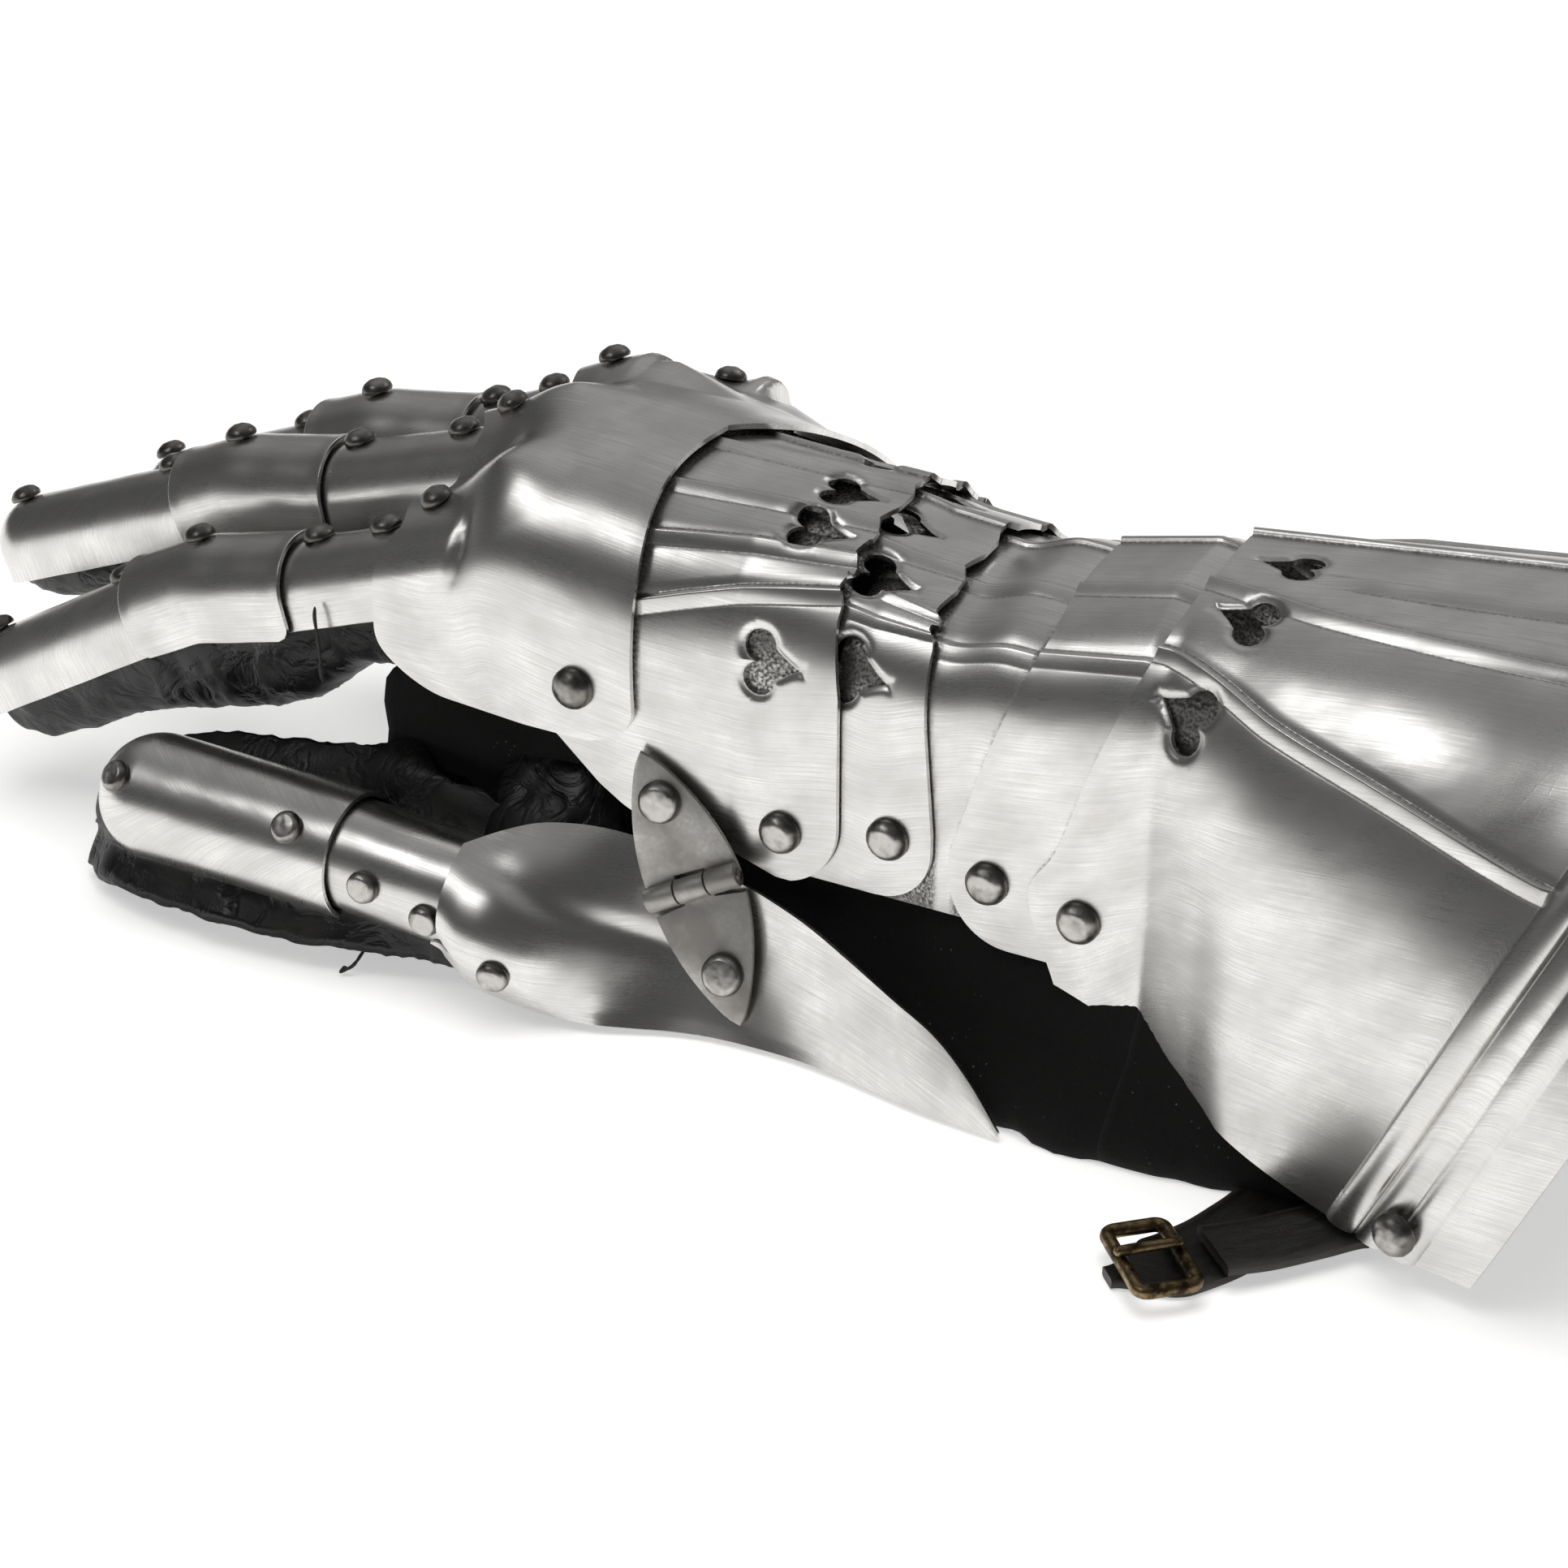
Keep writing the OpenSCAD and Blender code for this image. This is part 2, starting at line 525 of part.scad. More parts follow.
// One leaf with its knuckles: the spans are along the pin
module hinge_leaf(spans, gaps) {
    side_gap = 0.15;
    difference() {
        union() {
            linear_extrude(hinge_sheet)
                leaf_outline();
            for (s = spans)
                translate([0, s[0], knuckle_r_hinge])
                    rotate([-90, 0, 0])
                        cylinder(r = knuckle_r_hinge, h = s[1] - s[0]);
        }
        for (s = gaps)
            translate([-knuckle_r_hinge - 1, s[0] - side_gap, -2])
                cube([2 * knuckle_r_hinge + 1.3, s[1] - s[0] + 2 * side_gap, 8]);
        translate([0, 0, knuckle_r_hinge])
            rotate([90, 0, 0])
                cylinder(r = hinge_pin_d / 2 + turn_gap, h = hinge_w + 4, center = true);
        translate([leaf_rivet, 0, 0])
            shank_hole(3);
    }
}
third = hinge_w / 6;
module hinge_leaf_upper() {
    color(steel)
        on_leaf(true)
            hinge_leaf([[-hinge_w / 2, -third], [third, hinge_w / 2]], [[-third, third]]);
}
module hinge_leaf_lower() {
    color(steel)
        on_leaf(false)
            hinge_leaf([[-third, third]], [[-hinge_w / 2 - 1, -third], [third, hinge_w / 2 + 1]]);
}
module hinge_pin() {
    color(rivet_steel)
        placed(pin_mid, upper_dir, pin_dir)
            cylinder(r = hinge_pin_d / 2, h = hinge_w + 0.4, center = true);
}

// Knuckle plate

finger_y0 = -32.4;
function finger_y(i) = finger_y0 + i * finger_pitch;
knuckle_x = [-105.8, -103.4, -95.2, -83.1];
knuckle_line = [for (i = [0 : 3]) [finger_y(i), knuckle_x[i]]];
knuckle_near = hand_half - hand_shift + pitch_y;
knuckle_far = hand_half + hand_shift + pitch_y;
knuckle_top = [[-114, 90], [-104, 95], [-95, 100.2], [-86, 102.6], [-78, 103.4], [-69, 103.2], [-60, 102.1],
    [-46, 99.5]];
knuckle_rear = [[-1, -56.5], [-0.5, -57.5], [-0.2, -59.6], [0, -58.4], [0.15, -54.5], [0.4, -50], [1, -47]];
knuckle_near_n = [[-112, 1.42], [-104, 1.5], [-96, 1.8], [-86, 2.3], [-60, 2.45]];
knuckle_far_n = [[-104, 1.9], [-86, 1.8], [-72, 1.56], [-60, 1.42]];
knuckle_near_z0 = [[-112, 66], [-100, 71], [-88, 76], [-69, 69], [-56, 64]];
function knuckle_bump(x, y, i) =
    let (d = norm([(x - knuckle_x[i] - 14) / 15, (y - finger_y(i)) / 10])) 3 * pow(max(0, 1 - d), 1.2);
// The plate wraps each finger's root as a tube about the finger's line
lobe_r = [scale_r + 2, scale_r + 0.9, scale_r + 0.9, scale_r + 0.5];
function lobe_z(x, y, i) =
    let (a = fingers[i][0], pitch = fingers[i][1][0], d = abs(y - finger_y(i)), r = lobe_r[i] - 5 * ramp(x, a[0] + 10, a[0] + 19))
    d >= r || x > a[0] + 19 ? 0 : a[1] + (x - a[0]) * tan(pitch) + (crown_up - base_r + sqrt(r * r - d * d)) / cos(pitch);
function knuckle_at(u, v) =
    let (half = v < 0 ? knuckle_near - crown_shift : knuckle_far + crown_shift,
         flat = arch(half, v < 0 ? 70 : 64, 100, v < 0 ? 2 : 1.7, 52, v),
         y0 = flat[0] - crown_shift,
         lobes = 2.4 * cos(360 * (y0 - finger_y0) / finger_pitch) * ramp(abs(y0 - hand_shift), 47, 40),
         front0 = along(y0, knuckle_line) - 5 - lobes,
         front = v < 0 && flat[1] < 84 ? lerp(front0, -112.8, ramp(flat[1], 86, 76)) : front0,
         x = lerp(front + corner(flat[1], 52, 16), curve(v, knuckle_rear) - corner(flat[1], 52, 12), u),
         z0 = v < 0 ? curve(x, knuckle_near_z0) : 67,
         n = curve(x, v < 0 ? knuckle_near_n : knuckle_far_n),
         s = arch(half, z0, curve(x, knuckle_top), n, 52 + 2 * ramp(x, -80, -108), v),
         y = s[0] - crown_shift,
         wave = 2.6 * cos(360 * (y - finger_y0) / finger_pitch) * (1 - smooth((u - 0.04) / 0.45)),
         up = wave + knuckle_bump(x, y, 0) + knuckle_bump(x, y, 1) + knuckle_bump(x, y, 2) + knuckle_bump(x, y, 3))
    [x, y, max(s[1] + up * ramp(abs(v), 0.68, 0.55), abs(v) > 0.69 ? 0 : max([for (i = [0 : 3]) lobe_z(x, y, i)]))];
knuckle_f = function(u, v) knuckle_at(u, v);
knuckle_rows_f = function(u) [for (k = [-24 : 24]) let (a = abs(k) / 24) [sign(k) * pow(a, 0.92), 0]];
knuckle_us = [for (k = [0 : 14]) k / 14];
// Where each finger's rivet sits on the lobes
function knuckle_rivet_v(i, a = -0.69, b = 0.69, step = 0) =
    let (m = (a + b) / 2)
    step > 24 ? m
    : knuckle_at(0.11, m)[1] < finger_y(i) ? knuckle_rivet_v(i, m, b, step + 1) : knuckle_rivet_v(i, a, m, step + 1);
function knuckle_rivet_u(i) =
    let (v = knuckle_rivet_v(i), a = knuckle_at(0, v)[0], b = knuckle_at(1, v)[0]) (knuckle_x[i] - a) / (b - a);

// How far each finger's rivet is lifted so that its head clears the curved lobe
lobe_seat = [0.9, 0.9, 0.9, 1.4];

module knuckle_plate() {
    color(steel)
        difference() {
            sheet(knuckle_f, knuckle_rows_f, knuckle_us, plate_t);
            side_hole(p_ab);
            for (i = [0 : 3])
                on_sheet(knuckle_f, knuckle_rivet_u(i), knuckle_rivet_v(i))
                    shank_hole(plate_t);
        }
}
module knuckle_rivets() {
    color(rivet_steel) {
        side_rivets(p_ab, [knuckle_near, knuckle_far], lap_grip + 0.35);
        for (i = [0 : 3])
            on_sheet(knuckle_f, knuckle_rivet_u(i), knuckle_rivet_v(i))
                translate([0, 0, lobe_seat[i]])
                    rivet(small_rivet_d, plate_t + lobe_seat[i] + 0.9);
    }
}

// Fingers

// Each finger: first joint [x, z], then the pitch and length of its three scales
fingers = [
    [[-106.7, 80.7], [19.2, 39.5], [20.3, 29], [29.7, 58]],
    [[-103.9, 92], [17, 48.5], [17.2, 26], [21.5, 61.5]],
    [[-98.4, 94.2], [21, 37.4], [14.8, 25.8], [21.5, 58]],
    [[-87, 83.4], [22.4, 32.3], [21.3, 22], [27.3, 49]]];
function ahead(p, pitch, s, up = 0) = [p[0] - s * cos(pitch) - up * sin(pitch), p[1] - s * sin(pitch) + up * cos(pitch)];
function joint_a(i) = fingers[i][0];
function joint_b(i) = ahead(joint_a(i), fingers[i][1][0], fingers[i][1][1]);
function joint_c(i) = ahead(joint_b(i), fingers[i][2][0], fingers[i][2][1]);
// How far a scale's crown stands above the joint line, and a middle scale's lift
crown_up = 1.5;
function middle_peak(i) = 5.2 + 0.13 * max(0, fingers[i][1][0] - fingers[i][2][0]);
middle_bend = 6;
middle_skirt = skirt + 1.5;
// The middle scale's halves turn about a line this far below its foot, which lifts its ridge
foot_drop = 0.5;
ridge_up = (scale_r + middle_skirt + foot_drop) * (1 / cos(middle_bend) - 1);
base_r = scale_r - scale_gap - scale_t;
module on_finger(i, p, pitch) {
    placed([p[0], finger_y(i), p[1]], [-cos(pitch), 0, -sin(pitch)], [-sin(pitch), 0, cos(pitch)])
        children();
}
// Outline of a scale's cross-section, filled: a half round on straight sides
module scale_fill(r, down) {
    intersection() {
        circle(r);
        translate([-r, 0])
            square([2 * r, r]);
    }
    translate([-r, -down])
        square([2 * r, down]);
}
module scale_section(r, down) {
    difference() {
        scale_fill(r, down);
        scale_fill(r - scale_t, down + 1);
    }
}
// A half-round scale along +X from x0 to x1 with its crown at height up
module scale_arch(r, x0, x1, up, down = skirt) {
    translate([x0, 0, up - r])
        rotate([90, 0, 90])
            linear_extrude(x1 - x0)
                scale_section(r, down);
}
// The same bent down at both ends about x = 0, where its two halves meet in a ridge
module scale_bent(r, back, fore, up, down, bend) {
    foot = up - r - down - foot_drop;
    reach = 60;
    past = 4;
    for (s = [-1, 1])
        intersection() {
            translate([0, 0, foot])
                rotate([0, s * bend, 0])
                    translate([0, 0, -foot])
                        scale_arch(r, s < 0 ? -back : -past, s < 0 ? past : fore, up, down);
            translate([s < 0 ? -reach : 0, -reach / 2, -reach])
                cube([reach, reach, 2 * reach]);
        }
}
// A half-round scale with a rounded end at x1
module scale_dome(r, x0, x1, up, down = skirt) {
    difference() {
        dome_fill(r, x0, x1, up, down);
        dome_fill(r - scale_t, x0 - 1, x1 - scale_t, up - scale_t, down + 1);
    }
}
module dome_fill(r, x0, x1, up, down) {
    translate([x0, 0, up - r])
        rotate([90, 0, 90])
            linear_extrude(x1 - x0 - r)
                scale_fill(r, down);
    translate([x1 - r, 0, up - r - down])
        cylinder(r = r, h = down);
    translate([x1 - r, 0, up - r])
        intersection() {
            sphere(r);
            translate([-r, -r, 0])
                cube([2 * r, 2 * r, r]);
        }
}
function base_rivets(i) = [i == 3 ? 9 : 11, fingers[i][1][1] - 11.8];
function tip_rivets(i) = [10.4, fingers[i][3][1] - 9];
middle_rivet_s = 17;

module finger_scale_base(i) {
    color(steel)
        on_finger(i, joint_a(i), fingers[i][1][0])
            difference() {
                scale_arch(base_r, -1, fingers[i][1][1], crown_up);
                for (s = base_rivets(i))
                    translate([s, 0, crown_up])
                        shank_hole(scale_t);
            }
}
module finger_scale_middle(i) {
    color(steel)
        on_finger(i, joint_b(i), fingers[i][2][0])
            difference() {
                translate([middle_rivet_s, 0, 0])
                    scale_bent(scale_r, middle_rivet_s + 5.5, fingers[i][2][1] + 4.4 - middle_rivet_s,
                        middle_peak(i), middle_skirt, middle_bend);
                translate([middle_rivet_s, 0, middle_peak(i)])
                    shank_hole(scale_t);
            }
}
module finger_scale_tip(i) {
    color(steel)
        on_finger(i, joint_c(i), fingers[i][3][0])
            difference() {
                scale_dome(base_r, 0, fingers[i][3][1], crown_up);
                for (s = tip_rivets(i))
                    on_dome(s, base_r, fingers[i][3][1], crown_up)
                        shank_hole(scale_t);
            }
}
// Puts children on the crown of a scale of radius r that ends in a dome at x1
module on_dome(s, r, x1, up) {
    bow = asin(clamp01((s - x1 + r) / r));
    translate([min(s, x1 - r), 0, up - r])
        rotate([0, bow, 0])
            translate([0, 0, r])
                children();
}
module scale_rivet() {
    translate([0, 0, 0.02])
        rivet(small_rivet_d, scale_t + 0.5);
}
module finger_rivets(i, k) {
    p = k == 0 ? joint_a(i) : k == 1 ? joint_b(i) : joint_c(i);
    len = fingers[i][k + 1][1];
    color(rivet_steel)
        on_finger(i, p, fingers[i][k + 1][0])
            for (s = k == 0 ? base_rivets(i) : k == 1 ? [middle_rivet_s] : tip_rivets(i))
                on_dome(s, base_r, k == 2 ? len : len + 20, k == 1 ? middle_peak(i) + ridge_up : crown_up)
                    scale_rivet();
}

// A soft glove finger along +X: rings as [x, half width, top, bottom]
function soft_ring(r, sides = 14) =
    [for (k = [0 : sides - 1]) let (a = 360 * k / sides + 90 / sides, c = cos(a), s = sin(a),
        mid = (r[2] + r[3]) / 2, half = (r[2] - r[3]) / 2)
        [r[0], -r[1] * sign(c) * pow(abs(c), 0.8), mid + half * sign(s) * pow(abs(s), 0.8)]];
module soft_finger(rings) {
    lofted([for (r = rings) soft_ring(r)]);
}
inner_r = base_r - scale_t - 0.4;
glove_top = crown_up - scale_t - 1.2;
module finger_glove_base(i) {
    len = fingers[i][1][1];
    deep = [-27, -26, -24, -22][i];
    color(hide)
        on_finger(i, joint_a(i), fingers[i][1][0])
            soft_finger([[4, inner_r - 1, glove_top, -9], [9, inner_r, glove_top, -15], [16, inner_r, glove_top, deep],
                [len * 0.65, inner_r, glove_top, deep + 2], [len - 4, inner_r - 0.3, glove_top, deep + 6],
                [len - 1, inner_r - 2, glove_top - 2, deep + 10]]);
}
module finger_glove_tip(i) {
    len = fingers[i][3][1];
    deep = [-25, -22, -21, -19][i];
    color(hide)
        on_finger(i, joint_c(i), fingers[i][3][0])
            soft_finger([[3, inner_r - 2, glove_top - 2, deep + 9], [8, inner_r - 0.3, glove_top, deep + 5],
                [len * 0.5, inner_r, glove_top, deep], [len - 9, inner_r - 0.6, glove_top - 1, deep + 1],
                [len - 3.2, inner_r - 3.6, glove_top - 5.5, deep + 4]]);
}

// Thumb

// The thumb lies on its side. Its crown looks out and up; its line runs towards -X.
thumb_rise = 40;
thumb_up = [0, -cos(thumb_rise), sin(thumb_rise)];
// Each scale: joint point on the crown line, heading in plan and fall
thumb_tip_p = [-111, -65.8, 29.2];
thumb_tip_dir = unit([-1, 0.012, 0.01]);
thumb_mid_p = [-78, -62.5, 25];
thumb_mid_dir = unit([-1, -0.058, 0.096]);
thumb_mid_len = 36;
thumb_mid_r = thumb_r - scale_t - scale_gap - 0.1;
module on_thumb(p, d) {
    placed(p, d, unit(thumb_up - d * (thumb_up * d)))
        children();
}
thumb_tip_rivets = [9.5, thumb_tip_len - 9];
// Rivets of the middle scale by their place along it and round it
thumb_mid_rivets = [[11.5, -46], [25, -33]];
thumb_skirt = 7;
// Puts children on a scale at s along it, turned round its tube
module round_tube(s, r, up, turn) {
    translate([s, 0, up - r])
        rotate([turn, 0, 0])
            translate([0, 0, r])
                children();
}
module thumb_tip_scale() {
    color(steel)
        on_thumb(thumb_tip_p, thumb_tip_dir)
            difference() {
                scale_dome(thumb_r, 0, thumb_tip_len, 0, thumb_skirt);
                for (s = thumb_tip_rivets)
                    on_dome(s, thumb_r, thumb_tip_len, 0)
                        shank_hole(scale_t);
            }
}
module thumb_middle_scale() {
    color(steel)
        on_thumb(thumb_mid_p, thumb_mid_dir)
            difference() {
                scale_arch(thumb_mid_r, -2, thumb_mid_len, 0, thumb_skirt - 2);
                for (s = thumb_mid_rivets)
                    round_tube(s[0], thumb_mid_r, 0, s[1])
                        shank_hole(scale_t);
            }
}
module thumb_tip_rivets() {
    color(rivet_steel)
        on_thumb(thumb_tip_p, thumb_tip_dir)
            for (s = thumb_tip_rivets)
                on_dome(s, thumb_r, thumb_tip_len, 0)
                    scale_rivet();
}
module thumb_middle_rivets() {
    color(rivet_steel)
        on_thumb(thumb_mid_p, thumb_mid_dir)
            for (s = thumb_mid_rivets)
                round_tube(s[0], thumb_mid_r, 0, s[1])
                    scale_rivet();
}

// The base plate: a domed front over the thumb's root that runs back into a long spike.
// u runs from the front to the spike, v from the lower edge to the upper edge.
spike_x = 25;
dome_x = -86;
base_high = [[-86, -58, 31.5], [-81, -53, 33], [-75, -49.5, 34.6], [-68, -46.8, 35], [-62, -45, 34.6],
    [-56, -43.6, 33.6], [-50, -42.8, 32.3], [-44, -42.4, 31], [-37, -42.4, 29.2], [-30, -43.2, 27.8],
    [-20, -45.8, 26], [-10, -48.6, 23], [0, -50.8, 19], [10, -53, 15], [18, -55.4, 9.5], [25, -57.3, 2]];
base_mid = [[-86, -67.8, 22], [-81, -69, 21], [-75, -68.5, 20], [-68, -65.5, 18], [-62, -60.5, 16.5],
    [-56, -54.5, 15.5], [-50, -49.6, 14.8], [-44, -47.2, 14.3], [-37, -46.4, 14], [-30, -46.8, 13.5],
    [-20, -48.5, 13], [-10, -50.8, 12], [0, -53, 10], [10, -55.2, 7.5], [18, -56.7, 5], [25, -57.5, 1.4]];
base_low = [[-86, -65.5, 11], [-81, -65.3, 6.5], [-75, -64, 4.3], [-68, -63, 3], [-62, -62, 2.4],
    [-56, -60.3, 2], [-50, -57.6, 1.6], [-44, -55, 1.4], [-37, -53.1, 1.3], [-30, -52.4, 1.3],
    [-20, -52.2, 1.3], [-10, -53.2, 1.3], [0, -55, 1.2], [10, -56.6, 1.1], [18, -57.2, 1], [25, -57.7, 0.8]];
function knot(x, run, k) = curve(x, [for (p = run) [p[0], p[k]]]);
function thumb_base_at(u, v) =
    let (x = lerp(dome_x, spike_x, u), a = v * (v + 1) / 2, b = 1 - v * v, c = v * (v - 1) / 2)
    concat([x], [for (k = [1, 2]) knot(x, base_high, k) * a + knot(x, base_mid, k) * b + knot(x, base_low, k) * c]);
thumb_base_f = function(u, v) thumb_base_at(u, v);
thumb_base_rows_f = function(u) [for (k = [-8 : 8]) [k / 8, 0]];
thumb_base_us = [for (k = [0 : 22]) k / 22];

module thumb_base_plate() {
    color(steel)
        difference() {
            sheet(thumb_base_f, thumb_base_rows_f, thumb_base_us, scale_t);
            on_leaf(false)
                translate([leaf_rivet, 0, 0])
                    shank_hole(9);
            base_rivet_place()
                shank_hole(scale_t);
        }
}
module base_rivet_place() {
    on_sheet(thumb_base_f, 0.115, -0.46)
        children();
}
module thumb_base_rivets() {
    color(rivet_steel) {
        on_leaf(false)
            translate([leaf_rivet, 0, hinge_sheet + 0.02])
                rivet(rivet_d, hinge_sheet + 5);
        base_rivet_place()
            translate([0, 0, 0.15])
                rivet(small_rivet_d, scale_t + 0.8);
    }
}
module thumb_glove_tip() {
    color(hide)
        on_thumb(thumb_tip_p, thumb_tip_dir)
            soft_finger([[2, thumb_r - 5.5, -5.5, -19], [9, thumb_r - 2.2, -2.6, -23],
                [thumb_tip_len * 0.5, thumb_r - 2, -2.6, -24], [thumb_tip_len - 12, thumb_r - 2.4, -3, -24],
                [thumb_tip_len - 3, thumb_r - 6, -7, -21]]);
}
module thumb_glove_base() {
    color(hide)
        lofted([for (r = [[-74, 53.5, 17.5, 6, 9], [-70, 53.5, 17.5, 6.8, 9.8], [-64, 51.7, 16.8, 5.4, 8.8],
            [-57, 48.7, 15.2, 2.6, 5.6]])
            [for (k = [0 : 13]) let (a = -360 * k / 14) [r[0], -r[1] + r[3] * cos(a), r[2] + r[4] * sin(a)]]]);
}

// Glove

// A flattened ring around the hand or wrist: half widths, top, floor and the far side's squareness.
// lean moves its top back, slant its far side.
function body_ring(r, grow = 0) =
    let (x = r[0], top = r[3], floor = r[4], lean = r[6], slant = r[7], zm = lerp(floor, top, 0.42))
    [for (k = [0 : 27]) let (a = 360 * k / 28 + 360 / 56, c = cos(a), s = sin(a),
        n = c < 0 && s > 0 ? r[5] : 2.8,
        y = (c > 0 ? r[1] + grow : -r[2] - grow) * pow(abs(c), 2 / n),
        z = s > 0 ? zm + (top + grow - zm) * pow(s, 2 / n)
            : max(floor - grow, zm - (zm - floor + grow) * 1.16 * pow(-s, 2 / n)))
        [x + lean * (z - 40) / 80 + slant * max(0, -y), -y, z]];
hand_sections = [
    [-97, 38, 42, 79, 0, 1.9, 2, 0.42], [-88, 39.5, 44, 85, 0, 1.9, 1, 0.3], [-76, 39.5, 44, 88, 0, 1.9, 0, 0.1],
    [-58, 37.5, 42, 88, 0, 1.9, 2, 0], [-40, 34, 35, 86, 0, 1.8, 6, 0], [-25, 32.5, 32.5, 84, 0, 1.8, 9, 0]];
function body_rings(sections, grow = 0) = [for (s = sections) body_ring(s, grow)];
function backwards(a) = [for (i = [len(a) - 1 : -1 : 0]) a[i]];
module glove_hand() {
    inside = [for (k = [1 : len(hand_sections) - 1]) hand_sections[k]];
    color(suede)
        lofted(concat(body_rings(hand_sections), backwards(body_rings(inside, -suede_t))));
}
sleeve_sections = [
    [-10, 32, 32, 79, 0, 1.8, -5, 0], [14, 32, 32, 80, 0, 1.8, -3, 0], [34, 32.5, 32.5, 82, 0, 1.8, -1, 0],
    [52, 37, 37, 84, 0, 1.8, 0, 0], [54, 38, 38, 84, 2.6, 1.8, 0, 0], [72, 44, 44, 86, 2.6, 1.8, 0, 0],
    [90, 49, 49, 88, 2.6, 1.8, 6, 0]];
module glove_cuff() {
    color(suede)
        lofted(concat(body_rings(sleeve_sections), backwards(body_rings(sleeve_sections, -suede_t))), true);
}

// Straps and buckle

// A strap along plan points [x, y, z of its underside], width across in plan
function strap_ring(p, d, w, t) =
    let (side = unit([-d[1], d[0], 0]) * w / 2, up = unit(cross(unit(d), unit(side))) * t)
    [p - side, p - side + up, p + side + up, p + side];
module strap(route, w, t) {
    n = len(route) - 1;
    lofted([for (i = [0 : n]) strap_ring(route[i],
        i == 0 ? route[1] - route[0] : i == n ? route[n] - route[n - 1] : route[i + 1] - route[i - 1], w, t)]);
}
buckle_dir = unit([0.72, 0.69, 0]);
buckle_mid = [66, -82.5, 3.2];
tongue_route = [[92, 54, 14], [92, 53.2, 8.5], [91, 48.5, 2.6], [86, 40, 0.1], [81, 20, 0.1], [79, -20, 0.1],
    [78, -45, 0.1], [76, -58, 0.1], [72.5, -70, 0.1], [67, -80, 0.1], [60, -87, 0.1]];
buckle_route = [[103, -54.2, 6], [99, -53.9, 4.8], [95, -53.4, 2.8], [91, -55.5, 2.5], [86, -61.5, 2.5],
    [80, -69, 2.6], [74, -75.4, 3.2]];
module tongue_strap() {
    color(hide)
        strap(tongue_route, strap_w, strap_t);
}
module buckle_strap() {
    color(hide)
        strap(buckle_route, strap_w - 3, strap_t);
}
// The buckle: a rectangular brass frame with a prong on its bar
buckle_l = 13;
buckle_wide = 21;
wire = 2.6;
module on_buckle() {
    placed(buckle_mid, buckle_dir, [0, 0, 1])
        children();
}
module buckle_frame() {
    color(brass)
        on_buckle()
            difference() {
                translate([-buckle_l / 2, -buckle_wide / 2, 0])
                    cube([buckle_l, buckle_wide, wire]);
                translate([-buckle_l / 2 + wire, -buckle_wide / 2 + wire, -1])
                    cube([buckle_l - 2 * wire, buckle_wide - 2 * wire, wire + 2]);
            }
}
module buckle_prong() {
    color(brass)
        on_buckle()
            translate([-buckle_l / 2 - 0.5, -1.1, wire + 0.3])
                cube([buckle_l, 2.2, 1.6]);
}

cuff_plate();
cuff_rivets();
glove_cuff();
buckle_strap();
tongue_strap();
buckle_frame();
buckle_prong();
rear_lame();
rear_lame_rivets();
wrist_lame();
front_lame();
front_lame_rivets();
metacarpal_plate();
metacarpal_rivets();
glove_hand();
hinge_leaf_upper();
hinge_pin();
knuckle_plate();
knuckle_rivets();
finger_scale_base(0);  // index_scale_base
finger_scale_middle(0);  // index_scale_middle
finger_scale_tip(0);  // index_scale_tip
finger_rivets(0, 0);  // index_rivets_base
finger_rivets(0, 1);  // index_rivets_middle
finger_rivets(0, 2);  // index_rivets_tip
finger_glove_base(0);  // index_glove_base
finger_glove_tip(0);  // index_glove_tip
finger_scale_base(1);  // middle_scale_base
finger_scale_middle(1);  // middle_scale_middle
finger_scale_tip(1);  // middle_scale_tip
finger_rivets(1, 0);  // middle_rivets_base
finger_rivets(1, 1);  // middle_rivets_middle
finger_rivets(1, 2);  // middle_rivets_tip
finger_glove_base(1);  // middle_glove_base
finger_glove_tip(1);  // middle_glove_tip
finger_scale_base(2);  // ring_scale_base
finger_scale_middle(2);  // ring_scale_middle
finger_scale_tip(2);  // ring_scale_tip
finger_rivets(2, 0);  // ring_rivets_base
finger_rivets(2, 1);  // ring_rivets_middle
finger_rivets(2, 2);  // ring_rivets_tip
finger_glove_base(2);  // ring_glove_base
finger_glove_tip(2);  // ring_glove_tip
finger_scale_base(3);  // little_scale_base
finger_scale_middle(3);  // little_scale_middle
finger_scale_tip(3);  // little_scale_tip
finger_rivets(3, 0);  // little_rivets_base
finger_rivets(3, 1);  // little_rivets_middle
finger_rivets(3, 2);  // little_rivets_tip
finger_glove_base(3);  // little_glove_base
finger_glove_tip(3);  // little_glove_tip
thumb_base_plate();
thumb_base_rivets();
hinge_leaf_lower();
thumb_glove_base();
thumb_middle_scale();
thumb_middle_rivets();
thumb_tip_scale();
thumb_tip_rivets();
thumb_glove_tip();
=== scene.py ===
import math

import bmesh
import bpy
import numpy as np
from mathutils import Matrix, Vector, noise


